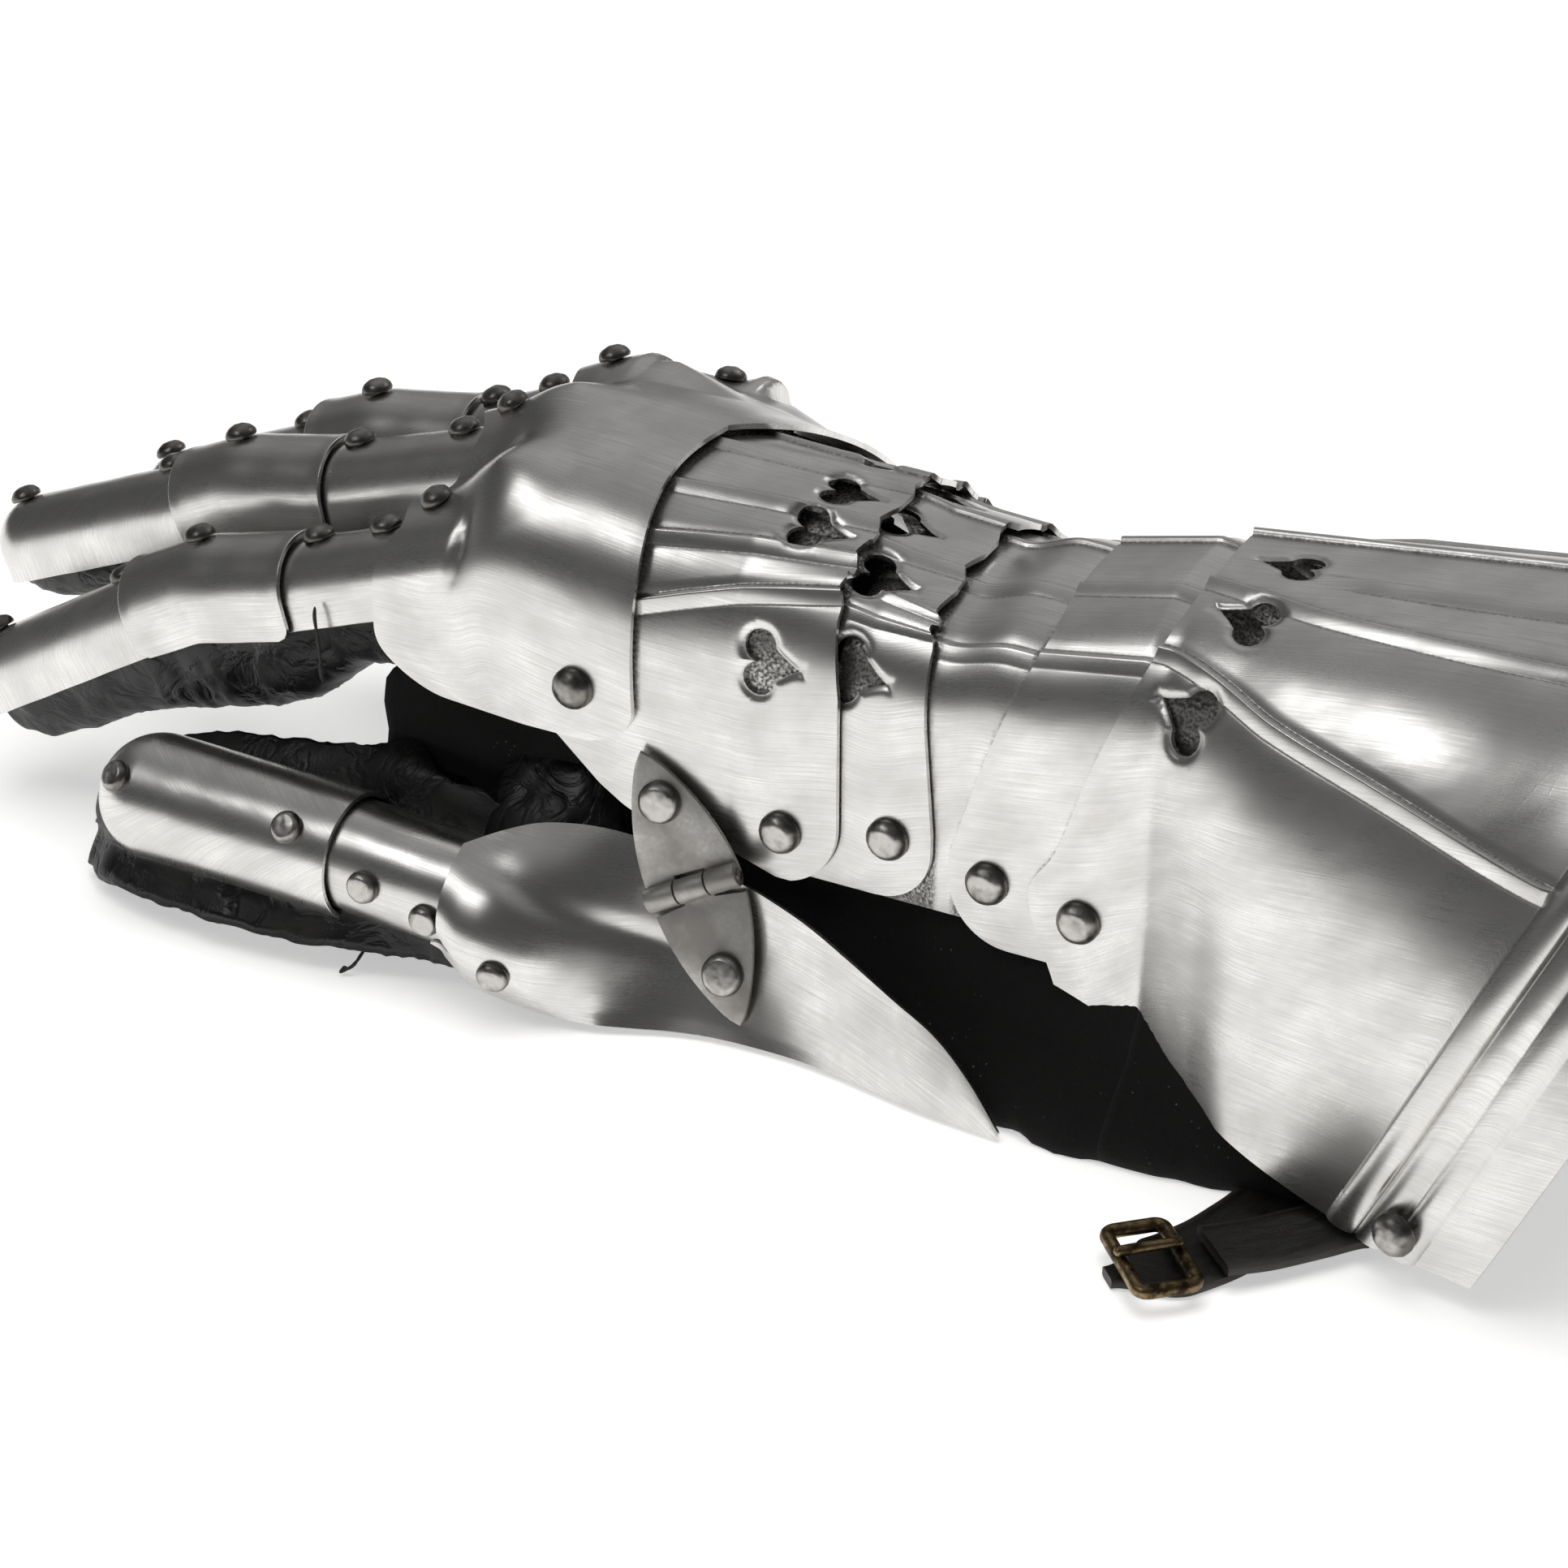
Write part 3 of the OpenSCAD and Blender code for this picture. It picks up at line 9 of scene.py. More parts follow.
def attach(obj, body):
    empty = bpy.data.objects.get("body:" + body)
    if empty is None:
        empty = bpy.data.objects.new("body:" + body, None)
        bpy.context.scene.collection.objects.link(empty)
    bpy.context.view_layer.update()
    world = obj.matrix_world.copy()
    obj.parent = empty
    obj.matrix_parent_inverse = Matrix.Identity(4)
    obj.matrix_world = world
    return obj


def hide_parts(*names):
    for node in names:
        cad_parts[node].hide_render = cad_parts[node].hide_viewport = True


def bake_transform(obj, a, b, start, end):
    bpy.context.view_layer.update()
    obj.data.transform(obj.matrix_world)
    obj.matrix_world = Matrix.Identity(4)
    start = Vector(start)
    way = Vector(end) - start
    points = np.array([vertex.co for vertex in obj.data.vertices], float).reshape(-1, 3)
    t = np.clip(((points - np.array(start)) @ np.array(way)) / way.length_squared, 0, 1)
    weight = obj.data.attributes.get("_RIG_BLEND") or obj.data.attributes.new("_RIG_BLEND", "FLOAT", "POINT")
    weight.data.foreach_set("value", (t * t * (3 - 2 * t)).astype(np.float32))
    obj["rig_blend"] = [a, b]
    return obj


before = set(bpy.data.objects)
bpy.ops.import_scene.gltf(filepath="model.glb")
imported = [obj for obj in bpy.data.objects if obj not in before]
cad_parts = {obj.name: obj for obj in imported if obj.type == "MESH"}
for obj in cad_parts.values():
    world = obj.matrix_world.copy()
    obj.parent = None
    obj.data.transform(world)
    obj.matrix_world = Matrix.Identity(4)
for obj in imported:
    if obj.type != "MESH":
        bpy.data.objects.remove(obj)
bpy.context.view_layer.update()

# Camera
# The gauntlet is seen from the thumb side, a little from above, through a long lens on a square
# picture. The frame cuts off the fingertips and the rear of the cuff, as the photograph does.
target = Vector((-0.039, -0.020, 0.0383))
camera_distance = 0.75
camera_lens = 91.96
camera_turn = math.radians(28.9)
camera_rise = math.radians(28.2)
camera_back = Vector((math.sin(camera_turn) * math.cos(camera_rise),
                      -math.cos(camera_turn) * math.cos(camera_rise), math.sin(camera_rise)))
camera = bpy.data.objects.new("camera", bpy.data.cameras.new("camera"))
camera.data.sensor_width = 36
camera.data.lens = camera_lens
camera.location = target + camera_back * camera_distance
camera.rotation_euler = camera_back.to_track_quat("Z", "Y").to_euler()
camera.data.clip_start = 0.01
bpy.context.collection.objects.link(camera)
scene = bpy.context.scene
scene.camera = camera
scene.view_settings.view_transform = "Standard"

# Paper floor and studio light
# White paper on a table lights the upright sides from below. A soft box hangs high at the thumb
# side and lights the flutes' facets. The tops mirror a grey room over the far side.


def node(tree, kind, inputs=None, **settings):
    """Adds a node, sets its properties and fills or links its inputs."""
    new = tree.nodes.new(kind)
    for name, value in settings.items():
        setattr(new, name, value)
    for name, value in (inputs or {}).items():
        if isinstance(value, bpy.types.NodeSocket):
            tree.links.new(value, new.inputs[name])
        else:
            new.inputs[name].default_value = value
    return new


def srgb(code):
    """Linear colour of an sRGB hex code such as B8B6B2."""
    parts = [int(code[k:k + 2], 16) / 255 for k in (0, 2, 4)]
    return [c / 12.92 if c <= 0.04045 else ((c + 0.055) / 1.055) ** 2.4 for c in parts] + [1]


def new_material(name):
    """A new material and its emptied node tree."""
    material = bpy.data.materials.new(name)
    material.use_nodes = True
    material.node_tree.nodes.clear()
    return material, material.node_tree


# Matt white paper. It glows a little towards the camera and in reflections, so that it stays white.
paper_lift = 0.5
paper, tree = new_material("matt_paper")
rays = node(tree, "ShaderNodeLightPath")
seen = node(tree, "ShaderNodeMath", {0: rays.outputs["Is Camera Ray"], 1: rays.outputs["Is Glossy Ray"]},
            operation="MAXIMUM")
seen = node(tree, "ShaderNodeMath", {0: seen.outputs[0], 1: rays.outputs["Is Transmission Ray"]},
            operation="MAXIMUM")
lift = node(tree, "ShaderNodeMath", {0: seen.outputs[0], 1: paper_lift}, operation="MULTIPLY")
matt = node(tree, "ShaderNodeBsdfDiffuse", {"Color": srgb("EDECEA")})
glow = node(tree, "ShaderNodeEmission", {"Color": srgb("FFFFFF"), "Strength": lift.outputs[0]})
both = node(tree, "ShaderNodeAddShader", {0: matt.outputs[0], 1: glow.outputs[0]})
node(tree, "ShaderNodeOutputMaterial", {"Surface": both.outputs[0]})

bm = bmesh.new()
bmesh.ops.create_grid(bm, x_segments=1, y_segments=1, size=20)
floor = bpy.data.objects.new("paper_floor", bpy.data.meshes.new("paper_floor"))
bm.to_mesh(floor.data)
bm.free()
floor.data.materials.append(paper)
bpy.context.collection.objects.link(floor)


def softbox(name, place, aim, size, power):
    """A rectangular soft box that looks at a point."""
    lamp = bpy.data.lights.new(name, "AREA")
    lamp.shape = "RECTANGLE"
    lamp.size, lamp.size_y = size
    lamp.energy = power
    box = bpy.data.objects.new(name, lamp)
    box.location = place
    box.rotation_euler = (Vector(place) - Vector(aim)).to_track_quat("Z", "Y").to_euler()
    bpy.context.collection.objects.link(box)
    return box


softbox("thumb_side_box", (-0.55, -0.70, 1.08), (-0.03, 0, 0.05), (0.6, 0.4), 1.8)
# The overhead box only lights the paper and the leather, the steel doesn't mirror it
overhead = softbox("overhead_box", (-0.03, -0.1, 1.5), (-0.03, -0.099, 0), (1.3, 1.3), 13.5)
overhead.visible_glossy = False
softbox("far_side_box", (0.5, 1.2, 1.3), (-0.03, 0, 0.05), (0.7, 0.5), 1.5)

# The room: dark at the thumb side and where it meets the table, grey above the far side
world = bpy.data.worlds.new("studio_room")
world.use_nodes = True
tree = world.node_tree
tree.nodes.clear()
direction = node(tree, "ShaderNodeTexCoord")
height = node(tree, "ShaderNodeVectorMath", {0: direction.outputs["Generated"], 1: (0, 0.6, 0.8)},
              operation="DOT_PRODUCT")
room = node(tree, "ShaderNodeMapRange", {"Value": height.outputs["Value"], "From Min": 0.45,
                                         "From Max": 0.86, "To Min": 0.07, "To Max": 0.36})
back = node(tree, "ShaderNodeBackground", {"Color": srgb("FFFFFF"), "Strength": room.outputs[0]})
node(tree, "ShaderNodeOutputWorld", {"Surface": back.outputs[0]})
scene.world = world

# Cuff
# A bell of 1.1 mm steel, raised over a stake and filed bright, then satin brushed across the arm.
# Chased flutes fan out from its narrow front, hearts are pierced between them, and three rolled
# beads stiffen it. Domed rivets join it to the rear lame and hold the straps.
mm = 0.001
plate_t = 1.1
lap_gap = 0.5
heart_len = 11.5
wrist_half = 35.2
side_wrist = wrist_half + plate_t
side_mid = side_wrist + plate_t + lap_gap
side_out = side_mid + plate_t + lap_gap
# Pivots of the plates as (x, z), all along Y
p_bc, p_cd, p_de, p_ef, p_ab = (-28.9, 40.2), (-7.7, 43.7), (12.3, 40), (31.1, 38.1), (-69, 62.4)
# Where the walls of an arch begin, and how square it is at the thumb side and the far side
wall_v = 0.7
side_n = 2.6
far_n = 1.42


def lerp(a, b, t):
    return a + (b - a) * t


def ramp(x, a, b):
    return np.clip((x - a) / (b - a), 0, 1)


def smooth(t):
    c = np.clip(t, 0, 1)
    return c * c * (3 - 2 * c)


def along(x, knots):
    """Straight runs through knots (x, value)."""
    return np.interp(x, [k[0] for k in knots], [k[1] for k in knots])


def curve(x, knots):
    """A smooth curve through knots (x, value), flat outside them."""
    kx, ky = np.array(knots, float).T
    last = len(kx) - 1
    i = np.clip(np.searchsorted(kx, x, side="right") - 1, 0, last - 1)
    h = kx[i + 1] - kx[i]
    t = np.clip((x - kx[i]) / h, 0, 1)
    before, after = np.maximum(i - 1, 0), np.minimum(i + 2, last)
    a = (ky[i + 1] - ky[before]) / (kx[i + 1] - kx[before]) * h
    b = (ky[after] - ky[i]) / (kx[after] - kx[i]) * h
    return ((2 * t**3 - 3 * t**2 + 1) * ky[i] + (t**3 - 2 * t**2 + t) * a
            + (3 * t**2 - 2 * t**3) * ky[i + 1] + (t**3 - t**2) * b)


def arc_z(pivot, r, x):
    """Height of a circle about a pivot at x."""
    return pivot[1] + np.sqrt(np.maximum(r * r - (x - pivot[0]) ** 2, 0))


def arch(half, z0, top, n, low, v):
    """(y, z) of an arch: v is -1 at the thumb side's lower edge, 0 on the crown, 1 on the far side."""
    a = np.abs(v)
    turn = np.pi / 2 * (1 - np.minimum(a / wall_v, 1))
    y = np.sign(v) * half * np.maximum(np.cos(turn), 0) ** (2 / n)
    z = np.where(a < wall_v, z0 + (top - z0) * np.maximum(np.sin(turn), 0) ** (2 / n),
                 lerp(z0, low, (a - wall_v) / (1 - wall_v)))
    return y, z


def v_of(y, half, n):
    """Place on an arch of the point at distance y from its middle."""
    share = np.minimum(1, np.abs(y) / half) ** (n / 2)
    return np.sign(y) * wall_v * (1 - np.degrees(np.arccos(share)) / 90)


def n_of(v):
    """How square a wrist plate is at v."""
    return np.where(v < 0, side_n, far_n)


def corner(z, low, r):
    """Inset of a rounded lower corner of radius r at height z above the lower edge."""
    return np.where(z >= low + r, 0, r - np.sqrt(np.maximum(0, r * r - (low + r - z) ** 2)))


def points(f, u, v):
    """Points of a surface function as an array."""
    return np.stack(np.broadcast_arrays(*f(u, v)), axis=-1).astype(float)


def unit(vectors):
    """Vectors of an array brought to length 1."""
    return vectors / np.maximum(np.linalg.norm(vectors, axis=-1, keepdims=True), 1e-9)


def normals(f, u, v, e=0.003):
    """Outward normals of a surface function."""
    along_u, along_v = points(f, u + e, v) - points(f, u - e, v), points(f, u, v + e) - points(f, u, v - e)
    return unit(np.cross(along_u, along_v))


def lengths(at, axis=0):
    """Length from the first point on along one axis of an array of points."""
    steps = np.linalg.norm(np.diff(at, axis=axis), axis=-1)
    return np.concatenate([0 * np.take(steps, [0], axis), np.cumsum(steps, axis)], axis)


# Section of a chased flute: distance in mm, positive away from the crown, then height as a share
# of its crest, then how much darker its grooves are drawn
flute_section = np.array([
    (-3.0, 0, 0), (-1.7, 0, 0), (-1.2, -0.12, 0.3), (-0.85, -0.12, 0.7), (-0.5, 0.4, 0.15),
    (-0.22, 0.94, 0), (0, 1, 0), (0.25, 0.97, 0), (2.55, 0.07, 0), (2.8, -0.08, 0.55),
    (3.05, -0.03, 0.2), (3.4, 0, 0)])
flute_crest = 1.0
flute_wide = 5


def fluted_grid(f, us, flutes, spacing):
    """Columns that follow the flutes: arrays of v, height, residue and distance from a flute.

    There is one row for each u. flutes(u) gives the flutes as (v, strength), in order.
    """
    fine = np.linspace(-1, 1, 401)
    offsets = flute_section[:, 0]
    rows = [flutes(u) for u in us]
    widths = [lengths(points(f, np.full_like(fine, u), fine)) for u in us]
    places = [np.interp([k[0] for k in row], fine, width) for row, width in zip(rows, widths)]
    count = len(rows[0])
    gaps = [max(p[0] for p in places)] + [max(p[k + 1] - p[k] for p in places) for k in range(count - 1)]
    gaps.append(max(width[-1] - p[-1] for width, p in zip(widths, places)))
    fills = [max(2, int(math.ceil((gap - flute_wide) / spacing))) for gap in gaps]
    v_rows, h_rows, dark_rows, nearest_rows = [], [], [], []
    for row, width, place in zip(rows, widths, places):
        s, h, dark = [], [], []
        edge = 0
        for k in range(count):
            space = min(place[k] - (place[k - 1] if k else 0),
                        (place[k + 1] if k < count - 1 else width[-1]) - place[k])
            squeeze = min(1, 0.42 * space / offsets[-1])
            side = -1 if row[k][0] < 0 else 1
            local = np.sort(offsets * side)
            section = flute_section[::side]
            s.append(np.linspace(edge, place[k] + local[0] * squeeze, fills[k] + 1)[:-1])
            h.append(np.zeros(fills[k]))
            dark.append(np.zeros(fills[k]))
            s.append(place[k] + local * squeeze)
            h.append(section[:, 1] * flute_crest * row[k][1])
            dark.append(section[:, 2] * min(1, row[k][1]))
            edge = place[k] + local[-1] * squeeze + (width[-1] / 4000)
        s.append(np.linspace(edge, width[-1], fills[-1] + 1))
        h.append(np.zeros(fills[-1] + 1))
        dark.append(np.zeros(fills[-1] + 1))
        s = np.concatenate(s)
        distance = np.array([(s - p) * (-1 if row[k][0] < 0 else 1) for k, p in enumerate(place)])
        nearest_rows.append(np.take_along_axis(distance, np.abs(distance).argmin(0)[None], 0)[0])
        v_rows.append(np.interp(s, width, fine))
        h_rows.append(np.concatenate(h))
        dark_rows.append(np.concatenate(dark))
    return np.array(v_rows), np.array(h_rows), np.array(dark_rows), np.array(nearest_rows)


def sheet_mesh(at, dark=0):
    """A mesh through points (rows, columns, 3) in mm, with a map of the surface in metres."""
    rows, columns = at.shape[:2]
    bm = bmesh.new()
    bmesh.ops.create_grid(bm, x_segments=columns - 1, y_segments=rows - 1, size=1)
    marks_and_shade = bm.verts.layers.float.new("marks_and_shade")
    surface = bm.loops.layers.uv.new("surface")
    dark = np.broadcast_to(dark, (rows, columns))
    across = lengths(at, 1)
    across -= across[:, columns // 2][:, None]
    down = lengths(at)
    cells = {}
    for vert in bm.verts:
        i = round((vert.co.y + 1) / 2 * (rows - 1))
        j = round((vert.co.x + 1) / 2 * (columns - 1))
        cells[vert] = (down[i, columns // 2] * mm, across[i, j] * mm)
        vert.co = at[i, j]
        vert[marks_and_shade] = dark[i, j]
    for face in bm.faces:
        for loop in face.loops:
            loop[surface].uv = cells[loop.vert]
    return bm


def once(parts):
    """Parts of a mesh in their order, each one once."""
    return list(dict.fromkeys(parts))


def heart_depth(p, q, wide):
    """Signed distance in mm to a heart's outline, negative inside, its point towards +p."""
    q = q / wide
    lobe = heart_len * 0.27
    centre = -heart_len * 0.5 + lobe
    lobes = np.hypot(p - centre, np.abs(q) - lobe * 0.98) - lobe
    t = ramp(p, centre - lobe * 0.1, heart_len * 0.5)
    flank = np.abs(q) - lobe * 1.98 * (1 - t) ** 1.25 + 0.12 * lobe * t * (1 - t)
    flank = np.maximum(flank, centre - 0.1 * lobe - p)
    return np.minimum(lobes, np.maximum(flank, p - heart_len * 0.5))


def pierce(bm, f, u, v, wide, turned=False):
    """Cuts a heart out of a sheet: the rim is pressed in a little round it."""
    seat = points(f, np.array(u), np.array(v))
    out = Vector(normals(f, np.array(u), np.array(v)))
    ahead = Vector(points(f, np.array(u + 0.01), np.array(v)) - points(f, np.array(u - 0.01), np.array(v)))
    ahead = (ahead - out * ahead.dot(out)).normalized() * (-1 if turned else 1)
    aside = out.cross(ahead)
    seat = Vector(seat)
    marks_and_shade = bm.verts.layers.float["marks_and_shade"]

    def depths():
        close = ((vert, vert.co - seat) for vert in bm.verts)
        return {vert: float(heart_depth(away.dot(ahead), away.dot(aside), wide))
                for vert, away in close if away.length < heart_len}

    # The mesh is refined round the outline, so that the cut runs smoothly. once() keeps the order of
    # the mesh, so that each run cuts alike.
    for limit, band in ((0.62, 2.2), (0.42, 1.2)):
        depth = depths()
        near = once(e for vert, d in depth.items() if abs(d) < band for e in vert.link_edges)
        long_edges = [e for e in near if e.calc_length() > limit]
        bmesh.ops.subdivide_edges(bm, edges=long_edges, cuts=1, use_grid_fill=True)
    depth = depths()
    cut = []
    for edge in once(e for vert in depth for e in vert.link_edges):
        a, b = edge.verts
        if a in depth and b in depth and (depth[a] < 0) != (depth[b] < 0):
            share = depth[a] / (depth[a] - depth[b])
            new = bmesh.utils.edge_split(edge, a, min(max(share, 0.02), 0.98))[1]
            depth[new] = 0
            cut.append(new)
    for face in once(g for vert in cut for g in vert.link_faces):
        corners = [vert for vert in face.verts if vert in cut]
        if len(corners) == 2 and not any(corners[1] in e.verts for e in corners[0].link_edges):
            bmesh.utils.face_split(face, corners[0], corners[1])
    inside = once(g for vert, d in depth.items() if d < 0 for g in vert.link_faces
                  if all(depth.get(other, 1) <= 0 for other in g.verts))
    bmesh.ops.delete(bm, geom=inside, context="FACES")
    for vert, d in depth.items():
        if vert.is_valid and d >= 0:
            vert.co -= out * 0.6 * math.exp(-(d / 1.0) ** 2)
            vert[marks_and_shade] = max(vert[marks_and_shade], 0.5 * math.exp(-(d / 0.3) ** 2))
    bmesh.ops.remove_doubles(bm, verts=[vert for vert in cut if vert.is_valid], dist=0.05)


def make_piece(bm, name, material, body, slot_name, *nodes, bend=None):
    """Turns a mesh in mm into a piece at the origin that stands for nodes.

    It rides on its body, or it bends between two bodies: bend is (body, body, start, end).
    """
    bmesh.ops.scale(bm, vec=(mm, mm, mm), verts=bm.verts)
    mesh = bpy.data.meshes.new(name)
    bm.to_mesh(mesh)
    bm.free()
    mesh.shade_smooth()
    mesh.materials.append(material)
    piece = bpy.data.objects.new(name, mesh)
    bpy.context.collection.objects.link(piece)
    if bend:
        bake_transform(piece, bend[0], bend[1], [c * mm for c in bend[2]], [c * mm for c in bend[3]])
    else:
        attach(piece, body)
    if nodes:
        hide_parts(*nodes)
    return piece


def steel_plate(bm, name, body, node_name, thickness=plate_t, rim=0.28):
    """A steel piece from its outer face, thickened inwards, its rim rounded, both in mm."""
    piece = make_piece(bm, name, steel, body, "steel", node_name)
    wall = piece.modifiers.new("thickness", "SOLIDIFY")
    wall.thickness = thickness * mm
    wall.offset = -1
    wall.use_even_offset = False
    round_rim = piece.modifiers.new("filed_rim", "BEVEL")
    round_rim.limit_method = "ANGLE"
    round_rim.angle_limit = math.radians(62)
    round_rim.width = rim * mm
    round_rim.segments = 2
    round_rim.profile = 0.5
    round_rim.harden_normals = True


def outwards(bm, at, out):
    """Makes a sheet's faces point outward; out is the direction outward at its middle."""
    middle = Vector(at[at.shape[0] // 2, at.shape[1] // 2])
    face = min(bm.faces, key=lambda g: (g.calc_center_median() - middle).length)
    face.normal_update()
    if face.normal.dot(Vector(out)) < 0:
        bmesh.ops.reverse_faces(bm, faces=bm.faces)


def steel_sheet(f, us, flutes, spacing, notch=None, hearts=(), turned=False, dirt_and_shade=None):
    """The outer face of a fluted plate, its rear edge notched at the flutes and pierced with hearts.

    Hearts are (u, v, width share). The last argument gives, for arrays of x, z and v, how far in mm a
    place lies under the next plate; there the steel is rough, and a dark brown painted shade, partly
    dirt, runs from just before that plate's edge.
    """
    v, h, dark, near = fluted_grid(f, us, flutes, spacing)
    u = np.repeat(np.array(us)[:, None], v.shape[1], axis=1)
    if notch:
        depth = along(near[-1], notch[0]) / notch[1]
        u = u * (1 - depth[None, :] * smooth(ramp(u, 0.6, 1)))
    out = normals(f, u, v)
    at = points(f, u, v) + out * h[..., None]
    # Painted shade, partly dirt: a dark brown band along the edge of the plate that lies over this one
    if dirt_and_shade:
        dark = np.maximum(dark, 0.85 * ramp(dirt_and_shade(at[..., 0], at[..., 2], v), -0.5, 0.3))
    bm = sheet_mesh(at, dark)
    rows, columns = v.shape
    outwards(bm, at, out[rows // 2, columns // 2])
    for place in hearts:
        pierce(bm, f, *place, turned=turned)
    return bm


# Brushed steel: bright iron grey with fine strokes across the arm, cloudy where hands have dulled
# it. It is drawn darker in the grooves beside the chased flutes and round the cut edges, and a dark
# brown painted shade, partly dirt, lies where a plate runs under the edge of the next. A fine
# scratch is drawn 0.35 mm wide, coarser than it is, so that it shows.
steel, tree = new_material("satin_brushed_steel")
surface = node(tree, "ShaderNodeUVMap", uv_map="surface").outputs[0]
strokes_at = node(tree, "ShaderNodeMapping", {"Vector": surface, "Scale": (1 / 0.014, 1 / 0.0003, 1)})
strokes = node(tree, "ShaderNodeTexNoise", {"Vector": strokes_at.outputs[0], "Scale": 1, "Detail": 4,
                                            "Roughness": 0.6})
clouds = node(tree, "ShaderNodeTexNoise", {"Vector": surface, "Scale": 1 / 0.014, "Detail": 4,
                                           "Roughness": 0.55})
dents = node(tree, "ShaderNodeTexNoise", {"Vector": surface, "Scale": 1 / 0.011, "Detail": 1})
scratch_at = node(tree, "ShaderNodeMapping", {"Vector": surface, "Rotation": (0, 0, 0.5),
                                              "Scale": (1 / 0.004, 1 / 0.03, 1)})
scratches = node(tree, "ShaderNodeTexVoronoi", {"Vector": scratch_at.outputs[0], "Scale": 1},
                 feature="DISTANCE_TO_EDGE")
scratch = node(tree, "ShaderNodeMapRange", {"Value": scratches.outputs["Distance"], "From Min": 0.0,
                                            "From Max": 0.03, "To Min": 1, "To Max": 0})
fade = node(tree, "ShaderNodeMapRange", {"Value": clouds.outputs[0], "From Min": 0.5, "From Max": 0.7})
scratch = node(tree, "ShaderNodeMath", {0: scratch.outputs[0], 1: fade.outputs[0]}, operation="MULTIPLY")
marks_and_shade_attr = node(tree, "ShaderNodeAttribute", attribute_name="marks_and_shade")
mottle = node(tree, "ShaderNodeMath", {0: strokes.outputs[0], 1: clouds.outputs[0]}, operation="MULTIPLY")
tone = node(tree, "ShaderNodeMapRange", {"Value": mottle.outputs[0], "From Min": 0.1, "From Max": 0.42})
bright = node(tree, "ShaderNodeMix", {"Factor": tone.outputs[0], 6: srgb("CBC9C6"), 7: srgb("F0EFED")},
              data_type="RGBA")
grain = node(tree, "ShaderNodeTexNoise", {"Vector": surface, "Scale": 1 / 0.0007, "Detail": 3})
speck = node(tree, "ShaderNodeMapRange", {"Value": grain.outputs[0], "From Min": 0.3, "From Max": 0.6})
# Painted shade, partly dirt, under the next plate's edge, and the darker grooves and cut edges: the sheet's
# attribute mixes the steel towards dark brown here
crust_and_shade = node(tree, "ShaderNodeMath", {0: marks_and_shade_attr.outputs["Fac"], 1: speck.outputs[0]}, operation="MULTIPLY")
colour = node(tree, "ShaderNodeMix", {"Factor": crust_and_shade.outputs[0], 6: bright.outputs[2], 7: srgb("3B3732")},
              data_type="RGBA")
rough = node(tree, "ShaderNodeMapRange", {"Value": mottle.outputs[0], "From Min": 0.12, "From Max": 0.4,
                                          "To Min": 0.34, "To Max": 0.24})
rough = node(tree, "ShaderNodeMath", {0: crust_and_shade.outputs[0], 1: 0.35, 2: rough.outputs[0]},
             operation="MULTIPLY_ADD")
lines = node(tree, "ShaderNodeMath", {0: scratch.outputs[0], 1: -0.8, 2: strokes.outputs[0]},
             operation="MULTIPLY_ADD")
waves = node(tree, "ShaderNodeBump", {"Height": dents.outputs[0], "Strength": 0.4, "Distance": 0.0003})
brushed = node(tree, "ShaderNodeBump", {"Height": lines.outputs[0], "Strength": 0.25, "Distance": 0.00002,
                                        "Normal": waves.outputs[0]})
shader = node(tree, "ShaderNodeBsdfPrincipled", {"Base Color": colour.outputs[2], "Metallic": 1,
                                                 "Roughness": rough.outputs[0],
                                                 "Normal": brushed.outputs[0]})
node(tree, "ShaderNodeOutputMaterial", {"Surface": shader.outputs[0]})

cuff_front_h = 99.9
cuff_rear_h = 111
cuff_len = 121
cuff_rear_half = 71
cuff_front_x = 44
bead_pitch = 6.2
bead_h = 1.5
bead_front = 88
bead_slant = 0.46
bead_share = 0.7
bead_reach = 0.6 * bead_pitch
rear_band = cuff_front_x + cuff_len - bead_front - bead_slant * cuff_rear_h + bead_reach
cuff_z0 = [(22, 62), (46, 60), (66, 40), (90, 22), (120, 10), (165, 8)]
cuff_low = [(22, 25), (28, 23.5), (47, 16.5), (65, 10.4), (82, 6.6), (95, 5.3), (104, 5.1)]
cuff_n = [(44, side_n), (66, 2.6), (90, 2.5), (119, 2.15), (165, 2.1)]
cuff_far_n = [(44, far_n), (80, 1.6), (165, 1.75)]
cuff_half = [(43, side_out), (55, side_out + 6), (66, side_out + 12), (85, side_out + 18),
             (103, side_out + 23.6), (119, side_out + 27), (145, cuff_rear_half)]
cuff_top = [(40, cuff_front_h), (67, cuff_front_h + 3), (101, lerp(cuff_front_h, cuff_rear_h, 0.6)),
            (125, lerp(cuff_front_h, cuff_rear_h, 0.78)), (cuff_front_x + cuff_len, cuff_rear_h)]
cuff_front_edge = [(24, 27), (41, 21), (51, 26), (68, 32), (85, 38.5), (93, 41.5), (99, cuff_front_x)]


def cuff_arch(x, v):
    """The bell's section at x, before its beads are raised."""
    return arch(curve(x, cuff_half), curve(x, cuff_z0), curve(x, cuff_top),
                np.where(v < 0, curve(x, cuff_n), curve(x, cuff_far_n)), curve(x, cuff_low), v)


def bead_line(x, v):
    """Where the beads start along the arm; the line slants with the height at x."""
    return bead_front - bead_reach + bead_slant * cuff_arch(x, v)[1]


